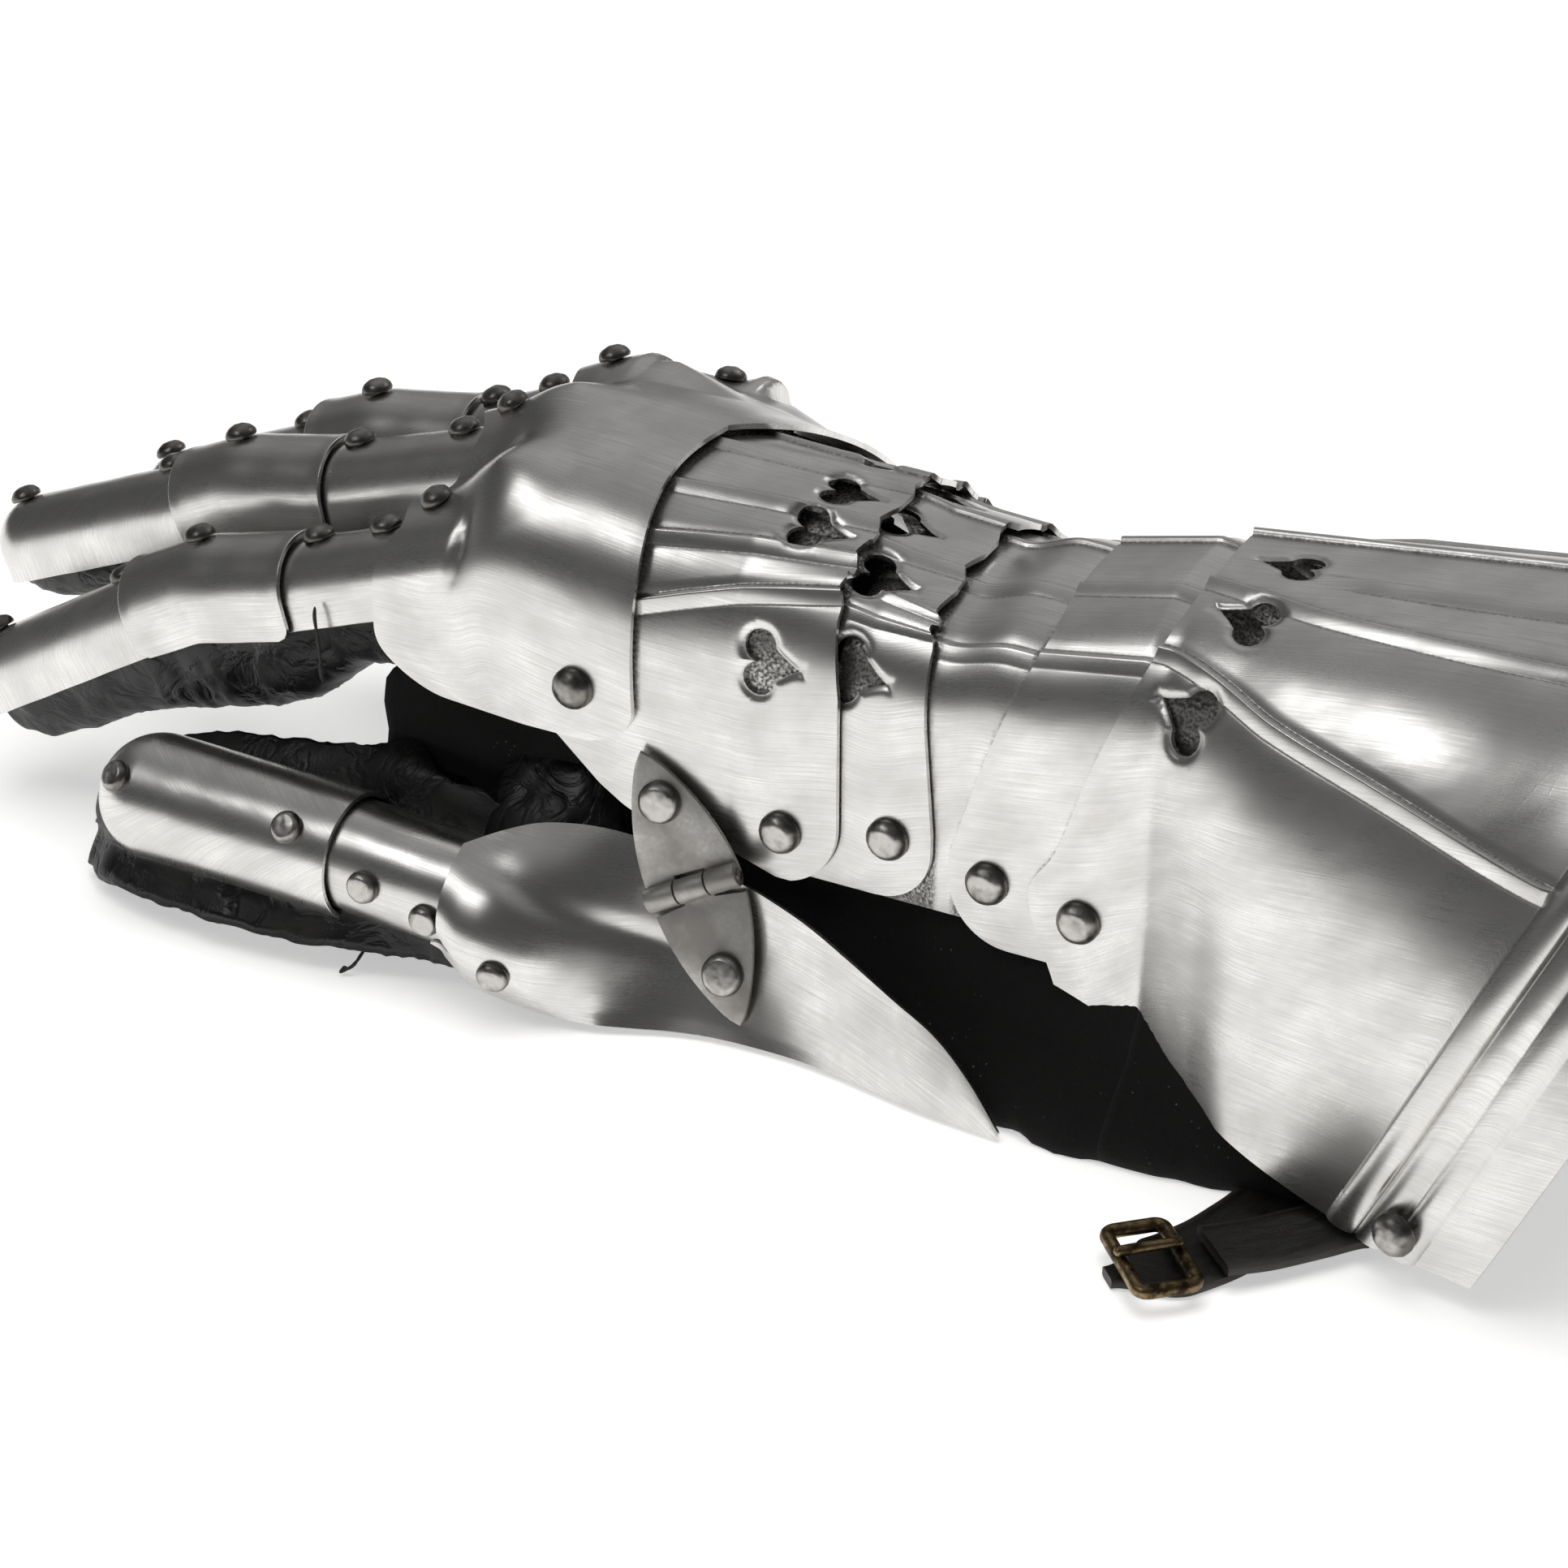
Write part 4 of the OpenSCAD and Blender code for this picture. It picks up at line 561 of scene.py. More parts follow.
def cuff_at(u, v):
    """The cuff: u from the front edge over the beads to the rear edge."""
    u, v = np.broadcast_arrays(np.asarray(u, float), np.asarray(v, float))
    front = curve(arch(side_out, 62, cuff_front_h, n_of(v), 25, v)[1], cuff_front_edge)
    behind = np.where(u <= bead_share, 0, (u - bead_share) / (1 - bead_share) * rear_band)
    x1 = bead_line(bead_line(120 + 0 * u, v), v)
    x2 = bead_line(bead_line(x1 + behind, v) + behind, v) + behind
    x = np.where(u <= bead_share, lerp(front, x1, u / bead_share), x2)
    y, z = cuff_arch(x, v)
    turns = [2.04 * ((behind - bead_reach) / bead_pitch - k) for k in range(3)]
    swell = bead_h * np.max([np.sqrt(np.maximum(0, 1 - t ** 2)) for t in turns], axis=0)
    return x, y * (1 + swell / 70), z + swell * ramp(np.abs(v), 1, 0.3)


def cuff_flutes(u):
    """Seven flutes that end before the beads; two of them start behind the front edge."""
    low = lerp(v_of(-31, side_out, side_n), -0.405, u)
    mid = lerp(v_of(-17.5, side_out, side_n), -0.185, u)
    far_low, far_mid = v_of(31, side_out, far_n), v_of(17.5, side_out, far_n)
    start = float(ramp(u, 0.14, 0.22)) * float(ramp(u, 0.72, 0.69))
    run = float(ramp(u, 0.72, 0.69))
    return [(low, run), (mid, run), (mid / 2, start), (0, run), (far_mid / 2, start), (far_mid, run),
            (far_low, run)]


cuff_hearts = [(0.092, -0.48, 1), (0.082, -0.225, 0.75), (0.085, -0.066, 0.62),
               (0.1, 0.5, 1), (0.09, 0.31, 0.85), (0.09, 0.13, 0.75)]
cuff_us = np.concatenate([np.linspace(0, bead_share, 76)[:-1], np.linspace(bead_share, 1, 66)])
bm = steel_sheet(cuff_at, cuff_us, cuff_flutes, 1.9, hearts=cuff_hearts, turned=True)
steel_plate(bm, "cuff_bell", "cuff", "cuff_plate")

# Rivets
# Forged steel pins with domed heads, blackened by the fire and hammered over by hand. Heads at the
# thumb side have a flat where the last blow landed; it and the tops of all domes are drawn lighter,
# partly wear and partly painted highlight.
rivet_d = 8.2
small_rivet_d = 6.4
shank_d = 3.2
lap_grip = 2 * plate_t + lap_gap

# Blackened steel: dark grey scale, slightly pitted. The domes are drawn lighter towards the tops,
# partly wear to bare metal and partly painted highlight.
blackened_steel, tree = new_material("fire_blackened_steel")
spot = node(tree, "ShaderNodeTexCoord").outputs["Object"]
pits = node(tree, "ShaderNodeTexNoise", {"Vector": spot, "Scale": 1 / 0.0011, "Detail": 3})
clouds = node(tree, "ShaderNodeTexNoise", {"Vector": spot, "Scale": 1 / 0.003, "Detail": 2})
wear_and_highlight = node(tree, "ShaderNodeAttribute", attribute_name="wear_and_highlight")
wear_and_highlight_at = node(tree, "ShaderNodeMath", {0: wear_and_highlight.outputs["Fac"], 1: clouds.outputs[0]}, operation="MULTIPLY")
wear_and_highlight_at = node(tree, "ShaderNodeMapRange", {"Value": wear_and_highlight_at.outputs[0], "From Min": 0.15, "From Max": 0.5})
dark = node(tree, "ShaderNodeMix", {"Factor": clouds.outputs[0], 6: srgb("55524F"), 7: srgb("8A8783")},
            data_type="RGBA")
tone = node(tree, "ShaderNodeMix", {"Factor": wear_and_highlight_at.outputs[0], 6: dark.outputs[2], 7: srgb("C9C6C2")},
            data_type="RGBA")
rough = node(tree, "ShaderNodeMapRange", {"Value": pits.outputs[0], "From Min": 0.3, "From Max": 0.7,
                                          "To Min": 0.27, "To Max": 0.45})
pitted = node(tree, "ShaderNodeBump", {"Height": pits.outputs[0], "Strength": 0.35, "Distance": 0.00012})
shader = node(tree, "ShaderNodeBsdfPrincipled", {"Base Color": tone.outputs[2], "Metallic": 1,
                                                 "Roughness": rough.outputs[0],
                                                 "Normal": pitted.outputs[0]})
node(tree, "ShaderNodeOutputMaterial", {"Surface": shader.outputs[0]})


def placed(p, ahead, out):
    """A frame with +X along ahead and +Z outward, at a point."""
    out = Vector(out).normalized()
    ahead = Vector(ahead)
    ahead = (ahead - out * ahead.dot(out)).normalized()
    aside = out.cross(ahead)
    frame_matrix = Matrix((ahead, aside, out)).transposed().to_4x4()
    frame_matrix.translation = Vector(p)
    return frame_matrix


def on_sheet(f, u, v):
    """The frame of a point of a sheet, +X along its rows."""
    u, v = np.array(float(u)), np.array(float(v))
    return placed(points(f, u, v), points(f, u + 0.01, v) - points(f, u - 0.01, v), normals(f, u, v, 0.04))


def add_rivet(bm, place, d, grip, flat=0.0):
    """A domed rivet, seated at z = 0 of its frame; flat is the share of the dome hammered flat."""
    tall = d * 0.4
    wear_and_highlight_layer = bm.verts.layers.float.get("wear_and_highlight") or bm.verts.layers.float.new("wear_and_highlight")
    dome = [(d / 2 * math.cos(turn), tall * (0.12 + 0.88 * math.sin(turn)))
            for turn in (math.radians(k * 7.5) for k in range(12, -1, -1))]
    profile = dome + [(d / 2 - 0.1, 0), (shank_d / 2, 0), (shank_d / 2, -grip), (shank_d / 2 + 0.8, -grip),
                      (shank_d / 2 + 0.7, -grip - 0.5), (0, -grip - 0.6)]
    known = set(bm.verts)
    run = [bm.verts.new((max(r, 0), 0, z)) for r, z in profile]
    edges = [bm.edges.new(pair) for pair in zip(run, run[1:])]
    bmesh.ops.spin(bm, geom=run + edges, cent=(0, 0, 0), axis=(0, 0, 1), angle=2 * math.pi, steps=28,
                   use_merge=True)
    new = [vert for vert in bm.verts if vert not in known]
    bmesh.ops.remove_doubles(bm, verts=new, dist=0.01)
    new = [vert for vert in bm.verts if vert not in known]
    bmesh.ops.recalc_face_normals(bm, faces=once(g for vert in new for g in vert.link_faces))
    seed = place.translation * 0.37
    for vert in new:
        if vert.co.z > 0.2:
            x, y, z = vert.co
            # The dome is lighter towards its top and its flat: partly wear, partly painted highlight
            vert[wear_and_highlight_layer] = float(smooth(z / tall * 1.1 - 0.1)) * (0.45 + flat)
            facet = tall * (1 - flat * 0.4)
            facet += 0.06 * x * noise.noise(seed) + 0.06 * y * noise.noise(seed.zxy)
            if flat and z > facet:
                vert.co.z = facet + (z - facet) * 0.2
            vert.co += vert.co.normalized() * 0.1 * noise.noise(vert.co * 0.9 + seed)
        vert.co = place @ vert.co


def rivets(name, body, node_name, places):
    """One piece of rivets from (frame, head diameter, grip, flat)."""
    bm = bmesh.new()
    for place in places:
        add_rivet(bm, *place)
    return make_piece(bm, name, blackened_steel, body, "rivet_steel", node_name)


def side_places(pivot, near, far, grip, flat=0.5):
    """The pair of rivets of one pivot, seated at the outer faces of both sides."""
    seat = 0.02
    return [(placed((pivot[0], side * (half + seat), pivot[1]), (1, 0, 0), (0, side, 0)), rivet_d,
             grip + 2 * seat, flat) for side, half in ((-1, near), (1, far))]


strap_t = 2.2
strap_rivet_uv = (0.835, 0.83)
lifted = Matrix.Translation((0, 0, bead_h + 0.1))
rivets("cuff_rivet_heads", "cuff", "cuff_rivets",
       side_places(p_ef, side_out, side_out, lap_grip)
       + [(on_sheet(cuff_at, strap_rivet_uv[0], side * strap_rivet_uv[1]) @ lifted, rivet_d,
           plate_t + strap_t + bead_h + 0.3, 0.3) for side in (-1, 1)])

# Wrist lames
# Three narrow bands that slide over each other on side rivets, so the wrist can bend. Their flutes
# carry on the lines of the hand and cuff. The front lame's rear edge is cut to a scalloped line.
lame_z0 = 62


def lame(half, crown, front, rear, low, r):
    """The surface of a lame from its crown line and its front and rear edges by height."""
    def at(u, v):
        zn = arch(half, lame_z0, crown((front(90) + rear(90)) / 2), n_of(v), low, v)[1]
        inset = corner(zn, low, r)
        x = lerp(front(zn) + inset, rear(zn) - inset, u)
        y, z = arch(half, lame_z0, crown(x), n_of(v), low, v)
        return x, y, z
    return at


def front_crown(x):
    """Crown height of the front lame: an arc about its pivot, then flat to the rear."""
    bend = arc_z(p_bc, 53.8, -14)
    return np.where(x < -14, arc_z(p_bc, 53.8, np.minimum(x, -14)), lerp(bend, 90.9, ramp(x, -14, -2)))


def wrist_crown(x):
    """Crown height of the wrist lame: arcs about both its pivots, joined between them."""
    low, high = arc_z(p_cd, 45, 0), p_de[1] + 51.2
    middle = lerp(low, high, smooth(x / p_de[0]))
    return np.where(x < 0, arc_z(p_cd, 45, np.minimum(x, 0)),
                    np.where(x > p_de[0], arc_z(p_de, 51.2, np.maximum(x, p_de[0])), middle))


def rear_crown(x):
    """Crown height of the rear lame: straight, then an arc about the cuff's pivot."""
    knee = 38
    return np.where(x > knee, arc_z(p_ef, 59.8, np.maximum(x, knee)),
                    lerp(93, arc_z(p_ef, 59.8, knee), ramp(x, 18, knee)))


# Where edges lie along the arm, by height; the bands that they cover are found from them too
def metacarpal_rear_edge(z):
    return lerp(-17.5, -20, ramp(z, 70, 84))


def front_lame_rear_edge(z):
    return lerp(0.8, -2.6, ramp(z, 46, 88))


def rear_lame_front_edge(z):
    return lerp(4.6, 19, ramp(z, 44, 90))


front_lame_at = lame(side_mid, front_crown, lambda z: -41 + 0 * z, front_lame_rear_edge, 31.5, 11)
wrist_lame_at = lame(side_wrist, wrist_crown, lambda z: -20 + 0 * z,
                     lambda z: lerp(24, 33, ramp(z, 40, 88)), 30.5, 11)
rear_lame_at = lame(side_mid, rear_crown, rear_lame_front_edge, lambda z: lerp(42.5, 55, ramp(z, 40, 90)),
                    27, 12)


def wrist_flutes(places):
    """Flutes at distances from the middle line, weaker on the flanks."""
    def at(u):
        return [(float(v_of(y, side_mid, n_of(y))), 0.4 if abs(y) > 20 else 0.85) for y in places(u)]
    return at


plain_flutes = wrist_flutes(lambda u: (-31, -17.5, 0, 17.5, 31))
# On the front lame a second flute runs into the low one
front_flutes = wrist_flutes(lambda u: (-31, -lerp(24, 28, u), -17.5, 0, 17.5, lerp(24, 28, u), 31))
# The scalloped edge: how far it is cut back in mm by distance from a flute, over the plate's length
scallops = [(-6, 0), (-2, 1.6), (-0.9, 1.9), (-0.4, 1.3), (0.6, 0.5), (2.4, 0)]
lame_us = np.linspace(0, 1, 50)
front_hearts = [(0.66, -0.56, 1), (0.66, -0.27, 0.76), (0.6, -0.08, 0.7),
                (0.66, 0.56, 1), (0.66, 0.34, 0.85), (0.6, 0.12, 0.75)]
# Each lame gets painted shade, partly dirt, along the edges of the plates that lie over it
bm = steel_sheet(rear_lame_at, lame_us, plain_flutes, 1.1,
                 dirt_and_shade=lambda x, z, v: x - curve(z, cuff_front_edge))
steel_plate(bm, "rear_lame_band", "rear_lame", "rear_lame")
bm = steel_sheet(wrist_lame_at, lame_us, plain_flutes, 1.1,
                 dirt_and_shade=lambda x, z, v: np.maximum(front_lame_rear_edge(z) - x, x - rear_lame_front_edge(z)))
steel_plate(bm, "wrist_lame_band", "wrist_lame", "wrist_lame")
bm = steel_sheet(front_lame_at, lame_us, front_flutes, 1.0, notch=(scallops, 40), hearts=front_hearts,
                 dirt_and_shade=lambda x, z, v: np.minimum(metacarpal_rear_edge(z) - x, 0.4 * (z - 57)))
steel_plate(bm, "front_lame_band", "front_lame", "front_lame")
for name, pivot in (("rear_lame", p_de), ("front_lame", p_cd)):
    rivets(name + "_rivet_heads", name, name + "_rivets", side_places(pivot, side_mid, side_mid, lap_grip))

# Metacarpal plate
# The plate over the back of the hand: eight chased flutes spread towards the knuckles, six hearts
# pierced between them, and a scalloped rear edge. Its thumb side flares out to carry the hinge.
hand_half = 46.6
hand_shift = 3
crown_shift = 6
knuckle_r = 38
hand_near_n = 2.4
hand_far_n = 1.32
metacarpal_low = [(-88, 58), (-74, 51), (-65, 43), (-58, 38.5), (-46, 37.5), (-38, 33), (-30, 30.5)]


# Half widths of the hand at the thumb side and the far side, and its crown
def hand_near(x):
    return lerp(side_out, hand_half - hand_shift, ramp(x, -40, -60))


def hand_far(x):
    return lerp(side_out, hand_half + hand_shift, ramp(x, -40, -64))


def metacarpal_top(x):
    return np.where(x < -60, arc_z(p_ab, knuckle_r, np.minimum(x, -60)),
                    lerp(96.1, arc_z(p_ab, knuckle_r, -60), ramp(x, -18, -60)))


def metacarpal_at(u, v):
    """The metacarpal plate: u from its front edge under the knuckles to its rear edge."""
    zn = arch(43, 62, 98, n_of(v), 31, v)[1]
    front = lerp(-88, -76, smooth(ramp(v, 0.12, 0.42)))
    x = lerp(front, metacarpal_rear_edge(zn) - corner(zn, 30.5, 13), u)
    n = lerp(n_of(v), np.where(v > 0, hand_far_n, hand_near_n), ramp(x, -38, -66))
    shift = -crown_shift * ramp(x, -20, -62)
    half = np.where(v > 0, hand_far(x) - shift, hand_near(x) + shift)
    z0 = lerp(62, np.where(v > 0, 66, 60), ramp(x, -30, -64))
    y, z = arch(half, z0, metacarpal_top(x), n, along(x, metacarpal_low), v)
    return x, y + shift, z


# Where each flute starts at the rear edge and ends at the front one, from the middle line
metacarpal_fan = [(-31.5, -42.6), (-25.5, -35), (-17, -24), (-3.5, -8),
                  (3.5, 12), (17, 27), (25.5, 38), (31.5, 47)]


def metacarpal_flutes(u):
    """The fan of flutes at u as (v, strength)."""
    row = []
    for rear, front in metacarpal_fan:
        y = front + crown_shift
        if y < 0:
            start = v_of(y, hand_near(-62) - crown_shift, hand_near_n)
        else:
            start = v_of(y, hand_far(-62) + crown_shift, hand_far_n)
        row.append((float(lerp(start, v_of(rear, side_out, n_of(rear)), u)), 1))
    return row


# The knuckle plate's rear edge, which laps over this plate, by place across the hand
knuckle_rear = [(-1, -56.5), (-0.5, -57.5), (-0.2, -59.6), (0, -58.4), (0.15, -54.5), (0.4, -50), (1, -47)]
metacarpal_hearts = [(0.81, -0.6, 1), (0.855, -0.218, 0.78), (0.86, -0.075, 0.7),
                     (0.81, 0.6, 1), (0.86, 0.27, 0.85), (0.86, 0.13, 0.75)]
# Painted shade, partly dirt, lies along the knuckle plate's rear edge
bm = steel_sheet(metacarpal_at, np.linspace(0, 1, 76), metacarpal_flutes, 1.1, notch=(scallops, 70),
                 hearts=metacarpal_hearts,
                 dirt_and_shade=lambda x, z, v: np.minimum(curve(v, knuckle_rear) - x, 0.4 * (z - 60)))
steel_plate(bm, "metacarpal_back_plate", "metacarpal", "metacarpal_plate")

# Knuckle plate
# One sheet raised over the four finger roots: a lobe at the front edge for each finger, a hollow
# between each two, and a pointed boss behind each. It turns on the metacarpal plate's side rivets.
finger_pitch = 23.6
finger_y0 = -32.4
knuckle_x = (-105.8, -103.4, -95.2, -83.1)
scale_r = 11
scale_gap = 0.5
scale_t = 0.9
skirt = 5.5
crown_up = 1.5
base_r = scale_r - scale_gap - scale_t
# Each finger: first joint (x, z), then the pitch and length of its three scales
fingers = [((-106.7, 80.7), (19.2, 39.5), (20.3, 29), (29.7, 58)),
           ((-103.9, 92), (17, 48.5), (17.2, 26), (21.5, 61.5)),
           ((-98.4, 94.2), (21, 37.4), (14.8, 25.8), (21.5, 58)),
           ((-87, 83.4), (22.4, 32.3), (21.3, 22), (27.3, 49))]
knuckle_near = hand_half - hand_shift + plate_t + lap_gap
knuckle_far = hand_half + hand_shift + plate_t + lap_gap
knuckle_top = [(-114, 90), (-104, 95), (-95, 100.2), (-86, 102.6), (-78, 103.4), (-69, 103.2),
               (-60, 102.1), (-46, 99.5)]
knuckle_near_n = [(-112, 1.42), (-104, 1.5), (-96, 1.8), (-86, 2.3), (-60, 2.45)]
knuckle_far_n = [(-104, 1.9), (-86, 1.8), (-72, 1.56), (-60, 1.42)]
knuckle_near_z0 = [(-112, 66), (-100, 71), (-88, 76), (-69, 69), (-56, 64)]
lobe_r = (scale_r + 2, scale_r + 0.9, scale_r + 0.9, scale_r + 0.5)


def finger_y(i):
    return finger_y0 + i * finger_pitch


def finger_wave(y):
    """1 over each finger, -1 between two."""
    return np.cos(2 * np.pi * (y - finger_y0) / finger_pitch)


def knuckle_boss(x, y, i):
    """Height in mm of the pointed boss behind a finger's root."""
    d = np.hypot((x - knuckle_x[i] - 14) / 15, (y - finger_y(i)) / 10)
    return 3 * np.maximum(0, 1 - d) ** 1.2


def lobe_z(x, y, i):
    """Height of the tube that wraps a finger's root; it falls away steeply beside the tube."""
    (a, z), (pitch, _) = fingers[i][:2]
    d = np.abs(y - finger_y(i))
    r = lobe_r[i] - 5 * ramp(x, a + 10, a + 19)
    slope = math.radians(pitch)
    round_part = np.sqrt(np.maximum(r * r - d * d, 0)) - 3 * np.maximum(d - r, 0)
    return z + (x - a) * math.tan(slope) + (crown_up - base_r + round_part) / math.cos(slope) \
        - 4 * np.maximum(0, x - a - 12)


def knuckle_at(u, v):
    """The knuckle plate: u from its lobed front edge to its rear edge."""
    u, v = np.broadcast_arrays(np.asarray(u, float), np.asarray(v, float))
    near = v < 0
    half = np.where(near, knuckle_near - crown_shift, knuckle_far + crown_shift)
    flat_y, flat_z = arch(half, np.where(near, 70, 64), 100, np.where(near, 2, 1.7), 52, v)
    y0 = flat_y - crown_shift
    lobes = 2.4 * finger_wave(y0) * ramp(np.abs(y0 - hand_shift), 47, 40)
    front0 = along(y0, [(finger_y(i), knuckle_x[i]) for i in range(4)]) - 5 - lobes
    front = np.where(near & (flat_z < 84), lerp(front0, -112.8, ramp(flat_z, 86, 76)), front0)
    x = lerp(front + corner(flat_z, 52, 16), curve(v, knuckle_rear) - corner(flat_z, 52, 12), u)
    z0 = np.where(near, curve(x, knuckle_near_z0), 67)
    n = np.where(near, curve(x, knuckle_near_n), curve(x, knuckle_far_n))
    y, z = arch(half, z0, curve(x, knuckle_top), n, 52 + 2 * ramp(x, -80, -108), v)
    y = y - crown_shift
    up = 2.6 * finger_wave(y) * (1 - smooth((u - 0.04) / 0.45))
    up = up + sum(knuckle_boss(x, y, i) for i in range(4))
    z = z + up * ramp(np.abs(v), 0.68, 0.55)
    # The lobes are blended into the plate over about a millimetre
    blend = 1.1
    share = ramp(np.abs(v), 0.72, 0.66)
    tubes = np.max([lobe_z(x, y, i) for i in range(4)], axis=0)
    rise = np.clip((tubes - z) / blend, -30, 30)
    lift = np.where(rise > 20, rise, np.log1p(np.exp(np.minimum(rise, 20))))
    return x, y, z + share * blend * lift * ramp(rise, -4, -1)


bm = steel_sheet(knuckle_at, np.linspace(0, 1, 76), lambda u: [(0, 0)], 0.85)
steel_plate(bm, "knuckle_cover", "knuckles", "knuckle_plate")


def knuckle_rivet(i):
    """The place of a finger's rivet on its lobe."""
    a, b = -0.69, 0.69
    for step in range(24):
        middle = (a + b) / 2
        if points(knuckle_at, 0.11, middle)[1] < finger_y(i):
            a = middle
        else:
            b = middle
    start, end = points(knuckle_at, 0, middle)[0], points(knuckle_at, 1, middle)[0]
    return on_sheet(knuckle_at, (knuckle_x[i] - start) / (end - start), middle)


lobe_seat = Matrix.Translation((0, 0, 0.25))
rivets("knuckle_rivet_heads", "knuckles", "knuckle_rivets",
       side_places(p_ab, knuckle_near, knuckle_far, lap_grip + 0.35, 0.1)
       + [(knuckle_rivet(i) @ lobe_seat, small_rivet_d, plate_t + 1.5, 0.1) for i in range(4)])

# Finger scales
# Three half-round steel scales a finger: a straight base scale, a peaked middle scale that laps
# over both its neighbours, and a tip scale closed in a dome. Each is riveted to the leather.
middle_bend = math.radians(6)
middle_rivet_s = 17
scale_corner = 3
scale_rim = 0.22


def ahead(p, pitch, s):
    """The point s mm further on from (x, z), down a slope of pitch degrees."""
    slope = math.radians(pitch)
    return p[0] - s * math.cos(slope), p[1] - s * math.sin(slope)


def finger_joint(i, k):
    """The joint before a finger's scale k as (x, z)."""
    p = fingers[i][0]
    for pitch, length in fingers[i][1:k + 1]:
        p = ahead(p, pitch, length)
    return p


def finger_frame(i, k):
    """+X runs to the fingertip along scale k, +Z up out of its crown."""
    x, z = finger_joint(i, k)
    slope = math.radians(fingers[i][k + 1][0])
    return placed((x, finger_y(i), z), (-math.cos(slope), 0, -math.sin(slope)),
                  (-math.sin(slope), 0, math.cos(slope)))


def carried(place, at):
    """An array of points moved from a frame's own space."""
    return at @ np.array(place.to_3x3()).T + np.array(place.translation)


def section(r, down, t):
    """(y, z below the crown) across a scale; t runs -1 to 1 over skirts and half round."""
    arc = math.pi / 2 * r
    s = np.abs(t) * (arc + down)
    turn = np.minimum(s, arc) / r
    y = np.sign(t) * r * np.sin(turn)
    z = -r * (1 - np.cos(turn)) - np.maximum(s - arc, 0)
    return y, z


def corner_inset(t, r, down):
    """How far an end edge stands back where a scale's corners are rounded."""
    left = (1 - np.abs(t)) * (math.pi / 2 * r + down)
    bow = scale_corner - np.sqrt(np.maximum(0, scale_corner**2 - (scale_corner - left) ** 2))
    return np.where(left < scale_corner, bow, 0)


def scale_grid(r, down, x0, x1, up, bend=0.0, rows=46, columns=56, flare=0.25):
    """Points of a half-round scale from x0 to x1, its crown at height up; bend turns both halves down."""
    u = np.linspace(0, 1, rows)[:, None]
    t = np.broadcast_to(np.linspace(-1, 1, columns), (rows, columns))
    y, z = section(r, down, t)
    inset = corner_inset(t, r, down)
    x = lerp(x0 + inset, x1 - inset, u)
    z = up + z
    # The edges are dressed slightly outward, so that neighbours slide under them
    edge = np.exp(-((x - x0) / 1.6) ** 2) + np.exp(-((x1 - x) / 1.6) ** 2)
    y = y * (1 + flare * edge / r)
    z = z + flare * edge * np.cos(np.clip(y / r, -1, 1) * np.pi / 2)
    if bend:
        foot = up - r - down - 0.5
        turn = bend * np.tanh(x / 2.2)
        height = z - foot
        x, z = x * np.cos(turn) + height * np.sin(turn), foot - x * np.sin(turn) + height * np.cos(turn)
    return np.stack([x, y, z], axis=-1)


def dome_grid(r, down, x0, x1, up, rows=26, around=34):
    """Points of a scale closed in a dome at x1: rows from the crown to the lower edge, columns from
    the rear edge on one side, round the front and back to the rear edge on the other side."""
    t = np.linspace(0, 1, rows)[:, None] ** 0.9
    y, z = section(r, down, t)
    straight = np.broadcast_to(np.linspace(x0, x1 - r, 34), (rows, 34))
    turn = np.linspace(0, math.pi, around)
    x = np.concatenate([straight, (x1 - r) + y * np.sin(turn)[None, 1:-1], straight[:, ::-1]], axis=1)
    ones = np.ones(straight.shape[1])
    side = np.concatenate([ones, np.cos(turn)[1:-1], -ones])[None, :]
    inset = corner_inset(t, r, down)
    x = np.where(x < x0 + inset, x0 + inset, x)
    return np.stack([x, y * side, np.broadcast_to(up + z, x.shape)], axis=-1)


def beaten(at, depth=0.1, size=7.0):
    """A surface with the shallow unevenness that the hammer leaves, in mm."""
    shift = [depth * noise.noise(Vector(p) / size) for p in at.reshape(-1, 3)]
    out = at.copy()
    out[..., 2] += np.array(shift).reshape(at.shape[:2])
    return out


def scale_piece(name, at, place, body, node_name):
    """A thin steel scale made from a grid of points in its own frame."""
    bm = sheet_mesh(carried(place, beaten(at)))
    bmesh.ops.remove_doubles(bm, verts=bm.verts, dist=0.02)
    up = Vector(place.col[2][:3])
    crown = max(bm.faces, key=lambda g: g.calc_center_median().dot(up))
    crown.normal_update()
    if crown.normal.dot(up) < 0:
        bmesh.ops.reverse_faces(bm, faces=bm.faces)
    steel_plate(bm, name, body, node_name, scale_t, scale_rim)


def on_dome(s, r, x1, up, lift=0.1):
    """The frame of a rivet on a scale's crown, s along it, over the dome that ends at x1."""
    bow = math.asin(min(1, max(0, (s - x1 + r) / r)))
    return (Matrix.Translation((min(s, x1 - r), 0, up - r)) @ Matrix.Rotation(bow, 4, "Y")
            @ Matrix.Translation((0, 0, r + lift)))


